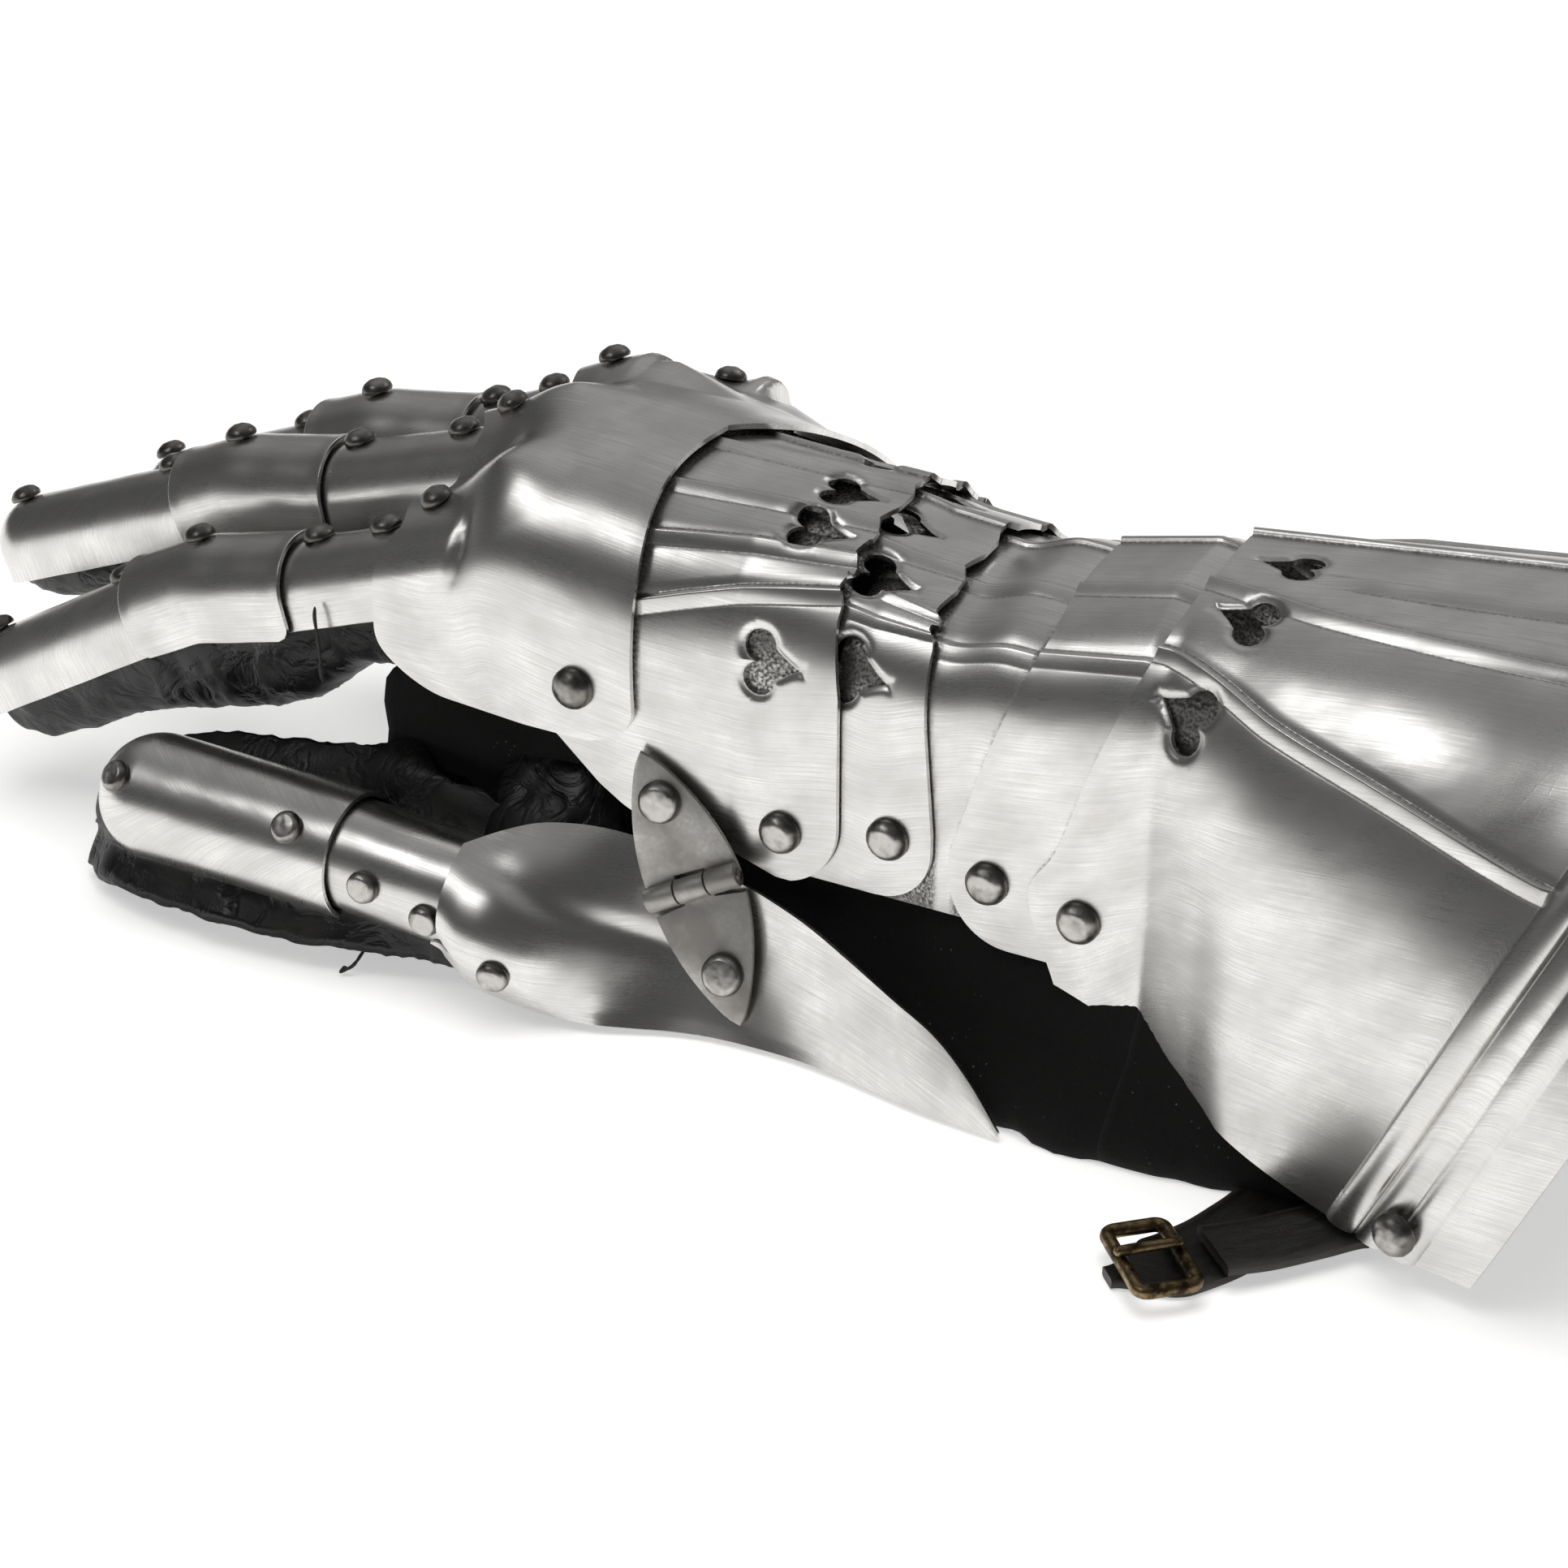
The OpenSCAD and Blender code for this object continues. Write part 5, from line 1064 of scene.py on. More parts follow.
small_grip = scale_t + 0.5
for i, name in enumerate(("index", "middle", "ring", "little")):
    base_len, middle_len, tip_len = (fingers[i][k][1] for k in (1, 2, 3))
    peak = 5.2 + 0.13 * max(0, fingers[i][1][0] - fingers[i][2][0])
    base, middle, tip = (finger_frame(i, k) for k in range(3))
    scale_piece(name + "_base_scale", scale_grid(base_r, skirt, -1, base_len, crown_up, flare=0), base,
                name + "_base", name + "_scale_base")
    at = scale_grid(scale_r, skirt + 1.5, -middle_rivet_s - 5.5, middle_len + 4.4 - middle_rivet_s, peak,
                    middle_bend)
    at[..., 0] += middle_rivet_s
    scale_piece(name + "_middle_scale", at, middle, name + "_middle", name + "_scale_middle")
    scale_piece(name + "_tip_scale", dome_grid(base_r, skirt, 0, tip_len, crown_up), tip, name + "_tip",
                name + "_scale_tip")
    base_spots = (9 if i == 3 else 11, base_len - 11.8)
    rivets(name + "_base_rivet_heads", name + "_base", name + "_rivets_base",
           [(base @ on_dome(s, base_r, 100, crown_up), small_rivet_d, small_grip, 0.1) for s in base_spots])
    rivets(name + "_middle_rivet_head", name + "_middle", name + "_rivets_middle",
           [(middle @ on_dome(middle_rivet_s, base_r, 100, peak, 0.2), small_rivet_d, small_grip, 0.1)])
    rivets(name + "_tip_rivet_heads", name + "_tip", name + "_rivets_tip",
           [(tip @ on_dome(s, base_r, tip_len, crown_up), small_rivet_d, small_grip, 0.1)
            for s in (10.4, tip_len - 9)])

# Thumb
# The thumb lies on its side on the table. Two half-round scales cover it, and a base plate is
# raised over its root and drawn back into a long spike that guards the wrist.
thumb_r = 12.5
thumb_tip_len = 59
thumb_up = Vector((0, -math.cos(math.radians(40)), math.sin(math.radians(40))))
thumb_skirt = 7
thumb_mid_len = 36
thumb_mid_r = thumb_r - scale_t - scale_gap - 0.1


def thumb_frame(p, direction):
    """A scale's frame on the thumb, which lies turned on its side."""
    direction = Vector(direction).normalized()
    return placed(p, direction, thumb_up - direction * thumb_up.dot(direction))


thumb_tip_at = thumb_frame((-111, -65.8, 29.2), (-1, 0.012, 0.01))
thumb_mid_at = thumb_frame((-78, -62.5, 25), (-1, -0.058, 0.096))
at = dome_grid(thumb_r, thumb_skirt, 0, thumb_tip_len, 0, rows=30, around=44)
scale_piece("thumb_tip_cover", at, thumb_tip_at, "thumb_tip", "thumb_tip_scale")
at = scale_grid(thumb_mid_r, thumb_skirt - 2, -2, thumb_mid_len, 0, flare=0)
scale_piece("thumb_middle_cover", at, thumb_mid_at, "thumb_middle", "thumb_middle_scale")
rivets("thumb_tip_rivet_heads", "thumb_tip", "thumb_tip_rivets",
       [(thumb_tip_at @ on_dome(s, thumb_r, thumb_tip_len, 0), small_rivet_d, small_grip, 0.7)
        for s in (9.5, thumb_tip_len - 9)])


def round_tube(s, r, turn):
    """The frame of a rivet on a scale's side, turn degrees from its crown."""
    return (Matrix.Translation((s, 0, -r)) @ Matrix.Rotation(math.radians(turn), 4, "X")
            @ Matrix.Translation((0, 0, r + 0.1)))


rivets("thumb_middle_rivet_heads", "thumb_middle", "thumb_middle_rivets",
       [(thumb_mid_at @ round_tube(s, thumb_mid_r, turn), small_rivet_d, small_grip, 0.7)
        for s, turn in ((11.5, -46), (25, -33))])

# The base plate's upper edge, ridge and lower edge as (x, y, z), from its front to the spike
spike_x = 25
dome_x = -86
base_high = [(-86, -58, 31.5), (-81, -53, 33), (-75, -49.5, 34.6), (-68, -46.8, 35),
             (-62, -45, 34.6), (-56, -43.6, 33.6), (-50, -42.8, 32.3), (-44, -42.4, 31),
             (-37, -42.4, 29.2), (-30, -43.2, 27.8), (-20, -45.8, 26), (-10, -48.6, 23),
             (0, -50.8, 19), (10, -53, 15), (18, -55.4, 9.5), (25, -57.3, 2)]
base_ridge = [(-86, -67.8, 22), (-81, -69, 21), (-75, -68.5, 20), (-68, -65.5, 18),
              (-62, -60.5, 16.5), (-56, -54.5, 15.5), (-50, -49.6, 14.8), (-44, -47.2, 14.3),
              (-37, -46.4, 14), (-30, -46.8, 13.5), (-20, -48.5, 13), (-10, -50.8, 12),
              (0, -53, 10), (10, -55.2, 7.5), (18, -56.7, 5), (25, -57.5, 1.4)]
base_low = [(-86, -65.5, 11), (-81, -65.3, 6.5), (-75, -64, 4.3), (-68, -63, 3),
            (-62, -62, 2.4), (-56, -60.3, 2), (-50, -57.6, 1.6), (-44, -55, 1.4),
            (-37, -53.1, 1.3), (-30, -52.4, 1.3), (-20, -52.2, 1.3), (-10, -53.2, 1.3),
            (0, -55, 1.2), (10, -56.6, 1.1), (18, -57.2, 1), (25, -57.7, 0.8)]


def thumb_base_at(u, v):
    """The base plate's outer face: u from the front to the spike, v from the lower to the upper edge."""
    x = lerp(dome_x, spike_x, np.asarray(u, float))
    shares = (v * (v + 1) / 2, 1 - v * v, v * (v - 1) / 2)
    y, z = (sum(curve(x, [(p[0], p[k]) for p in run]) * share
                for run, share in zip((base_high, base_ridge, base_low), shares)) for k in (1, 2))
    return x, y, z


def thumb_base_detail(u, v):
    """Height of the lower rim, dressed outward, and of the crease beside the dome, in mm."""
    crease_line = lerp(0.75, -0.15, ramp(u, 0.02, 0.42))
    crease = np.exp(-((v - crease_line) / 0.14) ** 2) * ramp(u, 0.0, 0.1) * ramp(u, 0.5, 0.3)
    rim = ramp(v, -0.8, -1) * ramp(u, 0.95, 0.3)
    return 0.2 * rim - 0.75 * crease


us = np.linspace(0, 1, 120)[:, None] ** 1.15
vs = np.linspace(-1, 1, 54)[None, :] + 0 * us
# A small cusp and notch at the front lower corner
front = 0.028 * np.exp(-((vs + 0.55) / 0.06) ** 2) - 0.02 * np.exp(-((vs + 0.72) / 0.07) ** 2)
us_bent = us + front * (1 - us) ** 6 * (us < 0.5)
out = normals(thumb_base_at, us_bent, vs, 0.01)
at = points(thumb_base_at, us_bent, vs) + out * thumb_base_detail(us_bent, vs)[..., None]
bm = sheet_mesh(at)
outwards(bm, at, (0, -1, 0.3))
steel_plate(bm, "thumb_base_cover", "thumb_base", "thumb_base_plate", scale_t, scale_rim)

# Thumb hinge
# Two pointed leaves cut from sheet, their barrels rolled round a pin. The upper leaf is riveted to
# the metacarpal plate, the lower one to the thumb's base plate.
hinge_sheet = 1.1
hinge_pin_d = 2.4
hinge_w = 19
hinge_leaf = 27
barrel_r = hinge_pin_d / 2 + 0.06 + hinge_sheet
leaf_yaw, leaf_lean, pin_tilt, hinge_bend = (math.radians(a) for a in (13, 9, 25, 12))
wall_out = Vector((math.sin(leaf_yaw) * math.cos(leaf_lean), -math.cos(leaf_yaw) * math.cos(leaf_lean),
                   math.sin(leaf_lean)))
level = Vector((math.cos(leaf_yaw), math.sin(leaf_yaw), 0))
leaf_up = wall_out.cross(level)
pin_dir = level * math.cos(pin_tilt) + leaf_up * math.sin(pin_tilt)
upper_dir = leaf_up * math.cos(pin_tilt) - level * math.sin(pin_tilt)
pin_mid = Vector((-43.2, -float(hand_near(-43.2)) - 6.9, 28.3))
lower_dir = -upper_dir * math.cos(hinge_bend) + wall_out * math.sin(hinge_bend)
lower_out = wall_out * math.cos(hinge_bend) + upper_dir * math.sin(hinge_bend)
upper_leaf = placed(pin_mid - wall_out * barrel_r, upper_dir, wall_out)
lower_leaf = placed(pin_mid - lower_out * barrel_r, lower_dir, lower_out)
leaf_rivet = hinge_leaf * 0.63
third = hinge_w / 6
barrel_play = 0.15


def barrel(bm, y0, y1):
    """One rolled knuckle of the hinge between two places along the pin."""
    made = bmesh.ops.create_cone(bm, cap_ends=True, segments=28, radius1=barrel_r, radius2=barrel_r,
                                 depth=y1 - y0)
    turn = Matrix.Translation((0, (y0 + y1) / 2, barrel_r)) @ Matrix.Rotation(math.pi / 2, 4, "X")
    bmesh.ops.transform(bm, matrix=turn, verts=made["verts"])
    ends = [e for e in once(e for vert in made["verts"] for e in vert.link_edges)
            if abs(e.verts[0].co.y - e.verts[1].co.y) < 0.01]
    bmesh.ops.bevel(bm, geom=ends, offset=0.2, segments=2, profile=0.5, affect="EDGES", material=-1)


def leaf(name, place, spans, body, node_name):
    """A pointed leaf with its barrels; it is cut away where the other leaf's barrels turn."""
    bm = bmesh.new()
    clear = barrel_r + 0.3
    steps = 16
    side = [(k / steps * hinge_leaf, hinge_w / 2 * max(math.cos(k / steps * math.pi / 2), 0) ** 0.75)
            for k in range(steps + 1)]
    outline = [(x, y) for x, y in side if x > clear] + [(x, -y) for x, y in reversed(side[:-1]) if x > clear]
    root_half = 9.4
    rear = []
    for y0, y1 in spans:
        rear += [(clear, max(y0, -root_half)), (0, y0), (0, y1), (clear, min(y1, root_half))]
    verts = [bm.verts.new((x, y, 0)) for x, y in outline + rear]
    face = bm.faces.new(verts)
    grown = bmesh.ops.extrude_face_region(bm, geom=[face])
    upper = [part for part in grown["geom"] if isinstance(part, bmesh.types.BMVert)]
    bmesh.ops.translate(bm, vec=(0, 0, hinge_sheet), verts=upper)
    bmesh.ops.recalc_face_normals(bm, faces=bm.faces)
    rim = [e for e in bm.edges if e.calc_face_angle(0) > 1
           and e.verts[0].co.z == e.verts[1].co.z and e.verts[0].co.x > 1]
    bmesh.ops.bevel(bm, geom=rim, offset=0.25, segments=2, profile=0.5, affect="EDGES", material=-1)
    for y0, y1 in spans:
        barrel(bm, y0 + barrel_play, y1 - barrel_play)
    bmesh.ops.transform(bm, matrix=place, verts=bm.verts)
    piece = make_piece(bm, name, dull_steel, body, "steel", node_name)
    piece.data.set_sharp_from_angle(angle=math.radians(40))


# Dull steel: the hinge was left as rolled, grey and finely grained, with rubbed brighter patches.
dull_steel, tree = new_material("dull_rolled_steel")
spot = node(tree, "ShaderNodeTexCoord").outputs["Object"]
grain = node(tree, "ShaderNodeTexNoise", {"Vector": spot, "Scale": 1 / 0.0009, "Detail": 4,
                                          "Roughness": 0.7})
rubbed = node(tree, "ShaderNodeTexNoise", {"Vector": spot, "Scale": 1 / 0.009, "Detail": 3})
spread = node(tree, "ShaderNodeMapRange", {"Value": rubbed.outputs[0], "From Min": 0.35, "From Max": 0.65})
mixed = node(tree, "ShaderNodeMath", {0: grain.outputs[0], 1: spread.outputs[0]}, operation="MULTIPLY")
tone = node(tree, "ShaderNodeMix", {"Factor": mixed.outputs[0], 6: srgb("A5A29E"), 7: srgb("E4E2DF")},
            data_type="RGBA")
rough = node(tree, "ShaderNodeMapRange", {"Value": mixed.outputs[0], "From Min": 0, "From Max": 0.6,
                                          "To Min": 0.6, "To Max": 0.42})
grained = node(tree, "ShaderNodeBump", {"Height": grain.outputs[0], "Strength": 0.3, "Distance": 0.0001})
shader = node(tree, "ShaderNodeBsdfPrincipled", {"Base Color": tone.outputs[2], "Metallic": 1,
                                                 "Roughness": rough.outputs[0],
                                                 "Normal": grained.outputs[0]})
node(tree, "ShaderNodeOutputMaterial", {"Surface": shader.outputs[0]})

leaf("hinge_upper_leaf", upper_leaf, [(-hinge_w / 2, -third), (third, hinge_w / 2)], "metacarpal",
     "hinge_leaf_upper")
leaf("hinge_lower_leaf", lower_leaf, [(-third, third)], "thumb_base", "hinge_leaf_lower")

bm = bmesh.new()
bmesh.ops.create_cone(bm, cap_ends=True, segments=24, radius1=hinge_pin_d / 2, radius2=hinge_pin_d / 2,
                      depth=hinge_w + 0.4)
caps = [e for e in bm.edges if e.calc_face_angle(0) > 1]
bmesh.ops.bevel(bm, geom=caps, offset=0.25, segments=2, profile=0.5, affect="EDGES", material=-1)
bm.verts.layers.float.new("wear_and_highlight")
bmesh.ops.transform(bm, matrix=placed(pin_mid, upper_dir, pin_dir), verts=bm.verts)
make_piece(bm, "hinge_pin_rod", blackened_steel, "metacarpal", "rivet_steel", "hinge_pin")

seat = Matrix.Translation((leaf_rivet, 0, hinge_sheet + 0.02))
front_spot = on_sheet(thumb_base_at, 0.115, -0.46) @ Matrix.Translation((0, 0, 0.15))
rivets("metacarpal_rivet_heads", "metacarpal", "metacarpal_rivets",
       side_places(p_bc, side_out, side_out, lap_grip)
       + [(upper_leaf @ seat, rivet_d, hinge_sheet + plate_t + 2.9, 0.8)])
rivets("thumb_base_rivet_heads", "thumb_base", "thumb_base_rivets",
       [(lower_leaf @ seat, rivet_d, hinge_sheet + 5, 0.8),
        (front_spot, small_rivet_d, scale_t + 0.8, 0.7)])

# Finger leather
# The glove's fingers: soft black cowhide, cut in two halves with a seam along each side. It is
# creased over the joints and hangs below the scales that are riveted to it.
leather_half = base_r - scale_t - 0.8
leather_top = crown_up - scale_t - 1.6

# Black cowhide: glossy, deeply creased where it bends, rubbed grey on the ridges. Its pores are
# drawn 0.5 mm apart, coarser than they are, so that they show.
cowhide, tree = new_material("creased_black_cowhide")
spot = node(tree, "ShaderNodeTexCoord").outputs["Object"]
crease = node(tree, "ShaderNodeTexNoise", {"Vector": spot, "Scale": 1 / 0.011, "Detail": 4, "Roughness": 0.5,
                                           "Distortion": 1.2})
fold = node(tree, "ShaderNodeMath", {0: crease.outputs[0], 1: 0.5}, operation="SUBTRACT")
fold = node(tree, "ShaderNodeMath", {0: fold.outputs[0]}, operation="ABSOLUTE")
creased = node(tree, "ShaderNodeMapRange", {"Value": fold.outputs[0], "From Min": 0, "From Max": 0.08})
pores = node(tree, "ShaderNodeTexVoronoi", {"Vector": spot, "Scale": 1 / 0.0005}, feature="F1")
relief = node(tree, "ShaderNodeMath", {0: pores.outputs["Distance"], 1: -0.12, 2: creased.outputs[0]},
              operation="MULTIPLY_ADD")
dull = node(tree, "ShaderNodeTexNoise", {"Vector": spot, "Scale": 1 / 0.012, "Detail": 3})
rubbed = node(tree, "ShaderNodeMapRange", {"Value": dull.outputs[0], "From Min": 0.5, "From Max": 0.75})
ridge = node(tree, "ShaderNodeMath", {0: rubbed.outputs[0], 1: creased.outputs[0]}, operation="MULTIPLY")
tone = node(tree, "ShaderNodeMix", {"Factor": ridge.outputs[0], 6: srgb("0B0A0A"), 7: srgb("211F1D")},
            data_type="RGBA")
rough = node(tree, "ShaderNodeMapRange", {"Value": dull.outputs[0], "From Min": 0.3, "From Max": 0.7,
                                          "To Min": 0.3, "To Max": 0.55})
folded = node(tree, "ShaderNodeBump", {"Height": relief.outputs[0], "Strength": 0.45, "Distance": 0.0004})
shader = node(tree, "ShaderNodeBsdfPrincipled", {"Base Color": tone.outputs[2],
                                                 "Roughness": rough.outputs[0],
                                                 "Normal": folded.outputs[0]})
node(tree, "ShaderNodeOutputMaterial", {"Surface": shader.outputs[0]})


def along_rings(rings, step):
    """Rings (count, columns, 3) smoothly refilled so that they lie about step mm apart."""
    run = lengths(rings.mean(axis=1))
    fine = np.linspace(0, run[-1], max(3, int(run[-1] / step) + 1))
    slope = np.gradient(rings, run, axis=0)
    i = np.clip(np.searchsorted(run, fine, side="right") - 1, 0, len(run) - 2)
    h = (run[i + 1] - run[i])[:, None, None]
    t = ((fine - run[i]) / (run[i + 1] - run[i]))[:, None, None]
    return ((2 * t**3 - 3 * t**2 + 1) * rings[i] + (t**3 - 2 * t**2 + t) * h * slope[i]
            + (3 * t**2 - 2 * t**3) * rings[i + 1] + (t**3 - t**2) * h * slope[i + 1])


def rounded_end(rings, bulge):
    """Rings that close the last one in a shallow dome, bulge mm deep."""
    ring = rings[-1]
    middle = ring.mean(axis=0)
    ahead = middle - rings[-2].mean(axis=0)
    ahead /= np.linalg.norm(ahead)
    turns = np.radians([20, 40, 58, 72, 83, 89])
    return np.array([middle + (ring - middle) * math.cos(t) + ahead * bulge * math.sin(t) for t in turns])


def fold_height(p, size):
    """Height at a point of soft swells and the creases between them, about size mm apart."""
    swell = noise.noise(Vector(p) / size)
    crease = abs(noise.noise(Vector(p) / (size * 0.55) + Vector((7, 3, 1))))
    return 0.9 * swell + 0.9 * (0.2 - crease)


def soft_piece(name, rings, material, slot_name, depth, size, ends=(None, None), bend=None, body=None,
               nodes=(), seam=0.0, wall=0):
    """A tube of soft leather through rings in mm, its folds depth deep and about size apart.

    ends gives how far each end bulges, None where it is open, and seam how far two seams stand out.
    """
    if ends[0] is not None:
        rings = np.concatenate([rounded_end(rings[::-1], ends[0])[::-1], rings])
    if ends[1] is not None:
        rings = np.concatenate([rings, rounded_end(rings, ends[1])])
    count, columns = rings.shape[:2]
    out = unit(rings - rings.mean(axis=1, keepdims=True))
    folds = [fold_height(p, size) for p in rings.reshape(-1, 3)]
    shift = depth * np.array(folds).reshape(count, columns)
    if seam:
        place = np.arange(columns) / columns
        off = np.minimum(np.minimum(place, 1 - place), np.abs(place - 0.5)) * columns
        shift = shift + seam * np.exp(-(off / 0.8) ** 2)[None, :]
    rings = rings + out * shift[..., None]
    rings[..., 2] = np.maximum(rings[..., 2], 0.0)
    bm = sheet_mesh(np.concatenate([rings, rings[:, :1]], axis=1))
    bmesh.ops.remove_doubles(bm, verts=bm.verts, dist=0.002)
    if bm.calc_volume(signed=True) < 0:
        bmesh.ops.reverse_faces(bm, faces=bm.faces)
    piece = make_piece(bm, name, material, body, slot_name, *nodes, bend=bend)
    if wall:
        skin = piece.modifiers.new("leather_wall", "SOLIDIFY")
        skin.thickness = wall * mm
        skin.offset = -1


def soft_ring(place, s, half, top, bottom, columns=56):
    """A soft finger's section at s along a frame, from its far seam over the top and round below."""
    a = np.linspace(0, 2 * np.pi, columns, endpoint=False)
    c, e = np.cos(a), np.sin(a)
    y = -half * np.sign(c) * np.abs(c) ** 0.8
    z = (top + bottom) / 2 + (top - bottom) / 2 * np.sign(e) * np.abs(e) ** 0.8
    return carried(place, np.stack([np.full_like(y, s), y, z], axis=-1))


def two_halves(name, rings, cut, bends, nodes, ends):
    """One leather finger as two pieces that meet at ring cut, each bending over its own joint."""
    halves = (("_lower", rings[:cut + 1], (ends[0], None)), ("_upper", rings[cut:], (None, ends[1])))
    for (half, part, end), bend, node_name in zip(halves, bends, nodes):
        soft_piece(name + half, part, cowhide, "leather", 0.9, 7, end, bend, nodes=(node_name,), seam=0.7)


# Each ring of a finger: its place along the scale, then what its half width, top and bottom differ
for i, name in enumerate(("index", "middle", "ring", "little")):
    base, middle, tip = (finger_frame(i, k) for k in range(3))
    base_len, middle_len, tip_len = (fingers[i][k][1] for k in (1, 2, 3))
    deep, tip_deep = (-26, -25, -23, -21)[i], (-24, -21, -20, -18)[i]
    rings = [soft_ring(base, s, leather_half + w, leather_top + t, deep + d)
             for s, w, t, d in ((-12, -2, -3, 10), (-4, -1, -1, 4), (8, 0, 0, 0),
                                (base_len * 0.6, 0, 0, 1.5), (base_len - 6, -0.2, 0, -2))]
    rings += [soft_ring(middle, s, leather_half, leather_top + t, lerp(deep, tip_deep, share) - 5)
              for s, t, share in ((4, 0.4, 0.3), (middle_len * 0.5, 0.8, 0.5), (middle_len - 5, 0.4, 0.8))]
    rings += [soft_ring(tip, s, leather_half + w, leather_top + t, tip_deep + d)
              for s, w, t, d in ((5, -0.1, 0, -4), (tip_len * 0.35, 0, 0, -1),
                                 (tip_len * 0.65, -0.1, -0.2, 0), (tip_len - 11, -0.9, -1.4, 1.2),
                                 (tip_len - 5, -3, -4.5, 4))]
    rings = along_rings(np.array(rings), 1.0)
    halfway = np.array(middle @ Vector((middle_len / 2, 0, -10)))
    cut = int(np.argmin(np.linalg.norm(rings.mean(axis=1) - halfway, axis=1)))
    spans = [[tuple(place @ Vector((s, 0, 0))) for s in (-7, 7)] for place in (middle, tip)]
    bends = ((name + "_base", name + "_middle", *spans[0]), (name + "_middle", name + "_tip", *spans[1]))
    two_halves(name + "_finger_leather", rings, cut, bends, (name + "_glove_base", name + "_glove_tip"),
               (3, 3.2))

# Thumb leather
# The glove's thumb, sewn flat: its cut seam allowance stands out as a ragged flange on the table.
# A web of the same leather joins it to the hand.

# Sections of the thumb as x, then y and z of its middle, its half width and half height, and how
# far the flange stands out
thumb_rings = [(-61, -46, 16, 4.5, 8, 0), (-68, -49, 18, 6.5, 12, 0), (-76, -49.5, 20, 9, 15, 0),
               (-88, -50, 20.5, 11, 17, 1), (-99, -50.5, 19.5, 12, 17, 3.5),
               (-108, -51.5, 18.5, 12.5, 16.5, 6), (-118, -52, 17.5, 13, 16, 7),
               (-130, -52.5, 17, 13, 15.5, 8), (-145, -52.5, 16.5, 12.5, 15, 8),
               (-158, -52, 15.5, 11.5, 14, 7), (-168, -51, 14, 9, 11.5, 6), (-175, -49.5, 11, 5.5, 8, 5)]
# The line through the middles of the scales, as x and (y, z), and the room under them at each x
thumb_core = [(-111, (-56.2, 21.2)), (-78, (-54, 17.9))]
thumb_room = [(-112, 11), (-108, 9.6), (-76, 9.6), (-68, 14)]


def turn_from(a, degrees):
    """Angles measured from another one, between -pi and pi."""
    return np.angle(np.exp(1j * (a - math.radians(degrees))))


def thumb_ring(x, y, z, half, tall, flange, columns=88):
    """One section: an oval with a thin flange low on its near side."""
    a = np.linspace(0, 2 * np.pi, columns, endpoint=False)
    across, up = -np.cos(a), np.sin(a)
    ledge = np.exp(-(turn_from(a, 322) / 0.17) ** 2)
    y_out, z_out = y + half * across, z + tall * up
    core = Vector([float(along(x, [(k, c[j]) for k, c in thumb_core])) for j in range(2)])
    dy, dz = y_out - core.x, z_out - core.y
    away = np.hypot(dy, dz)
    under = dy * thumb_up.y + dz * thumb_up.z > -8
    pull = np.where(under, np.minimum(1, float(along(x, thumb_room)) / away), 1)
    y_out, z_out = core.x + dy * pull, core.y + dz * pull
    ragged = 1 + 0.12 * noise.noise(Vector((x / 5, 0, 1)))
    # The seam allowance of the inner side stands up behind the scales
    fin_height = along(x, [(-175, 2), (-166, 6), (-130, 9), (-108, 12), (-90, 12), (-76, 7), (-64, 0)])
    fin = np.exp(-(turn_from(a, 152) / 0.2) ** 2) * fin_height
    return np.stack([np.full_like(a, x), y_out - ledge * flange * ragged + 0.15 * fin,
                     np.maximum(z_out, 0.3) * (1 - 0.5 * ledge) + fin], axis=-1)


rings = along_rings(np.array([thumb_ring(*r) for r in thumb_rings]), 1.0)
cut = int(np.argmin(np.abs(rings[:, :, 0].mean(axis=1) + 96)))
bends = (("thumb_base", "thumb_middle", (-72, -53, 18), (-86, -53, 18)),
         ("thumb_middle", "thumb_tip", (-105, -54, 18), (-117, -54, 18)))
two_halves("thumb_leather", rings, cut, bends, ("thumb_glove_base", "thumb_glove_tip"), (2, 3))

# The web between thumb and hand, as rings from the hand out to the thumb's root
web = [(-33, -77, 24, 21, 20, 21), (-39, -77, 23, 19, 18, 19), (-45, -76, 21, 17, 14, 16),
       (-50, -74, 19, 14, 10, 13)]


def web_ring(y, x, z, half, tall, lean, columns=72):
    """One section of the web: an oval at y that leans, kept above the table."""
    a = np.linspace(0, 2 * np.pi, columns, endpoint=False)
    return np.stack([x + half * np.cos(a), np.full_like(a, y) - 0.12 * lean * np.sin(a),
                     np.maximum(z + tall * np.sin(a), 1)], axis=-1)


rings = along_rings(np.array([web_ring(*r) for r in web]), 1.0)
soft_piece("thumb_web_leather", rings, cowhide, "leather", 1.6, 9, (None, 3),
           ("metacarpal", "thumb_base", (-70, -36, 24), (-70, -50, 20)))

# Glove
# The hand and sleeve of the glove are black suede, nap side out. The sleeve lies slack on the table
# under the wrist and goes on into the cuff.
suede_t = 2

# Suede: a short dense nap that scatters light at grazing angles, with pale lint caught in it. The
# nap is drawn 0.4 mm coarse, more than it is, so that it shows.
suede, tree = new_material("black_suede")
spot = node(tree, "ShaderNodeTexCoord").outputs["Object"]
nap = node(tree, "ShaderNodeTexNoise", {"Vector": spot, "Scale": 1 / 0.0006, "Detail": 4, "Roughness": 0.7})
stroked = node(tree, "ShaderNodeTexNoise", {"Vector": spot, "Scale": 1 / 0.014, "Detail": 3})
lint = node(tree, "ShaderNodeTexVoronoi", {"Vector": spot, "Scale": 1 / 0.0016}, feature="F1")
specks = node(tree, "ShaderNodeMapRange", {"Value": lint.outputs["Distance"], "From Min": 0.05,
                                           "From Max": 0.14, "To Min": 1, "To Max": 0})
patches = node(tree, "ShaderNodeMapRange", {"Value": stroked.outputs[0], "From Min": 0.52, "From Max": 0.62})
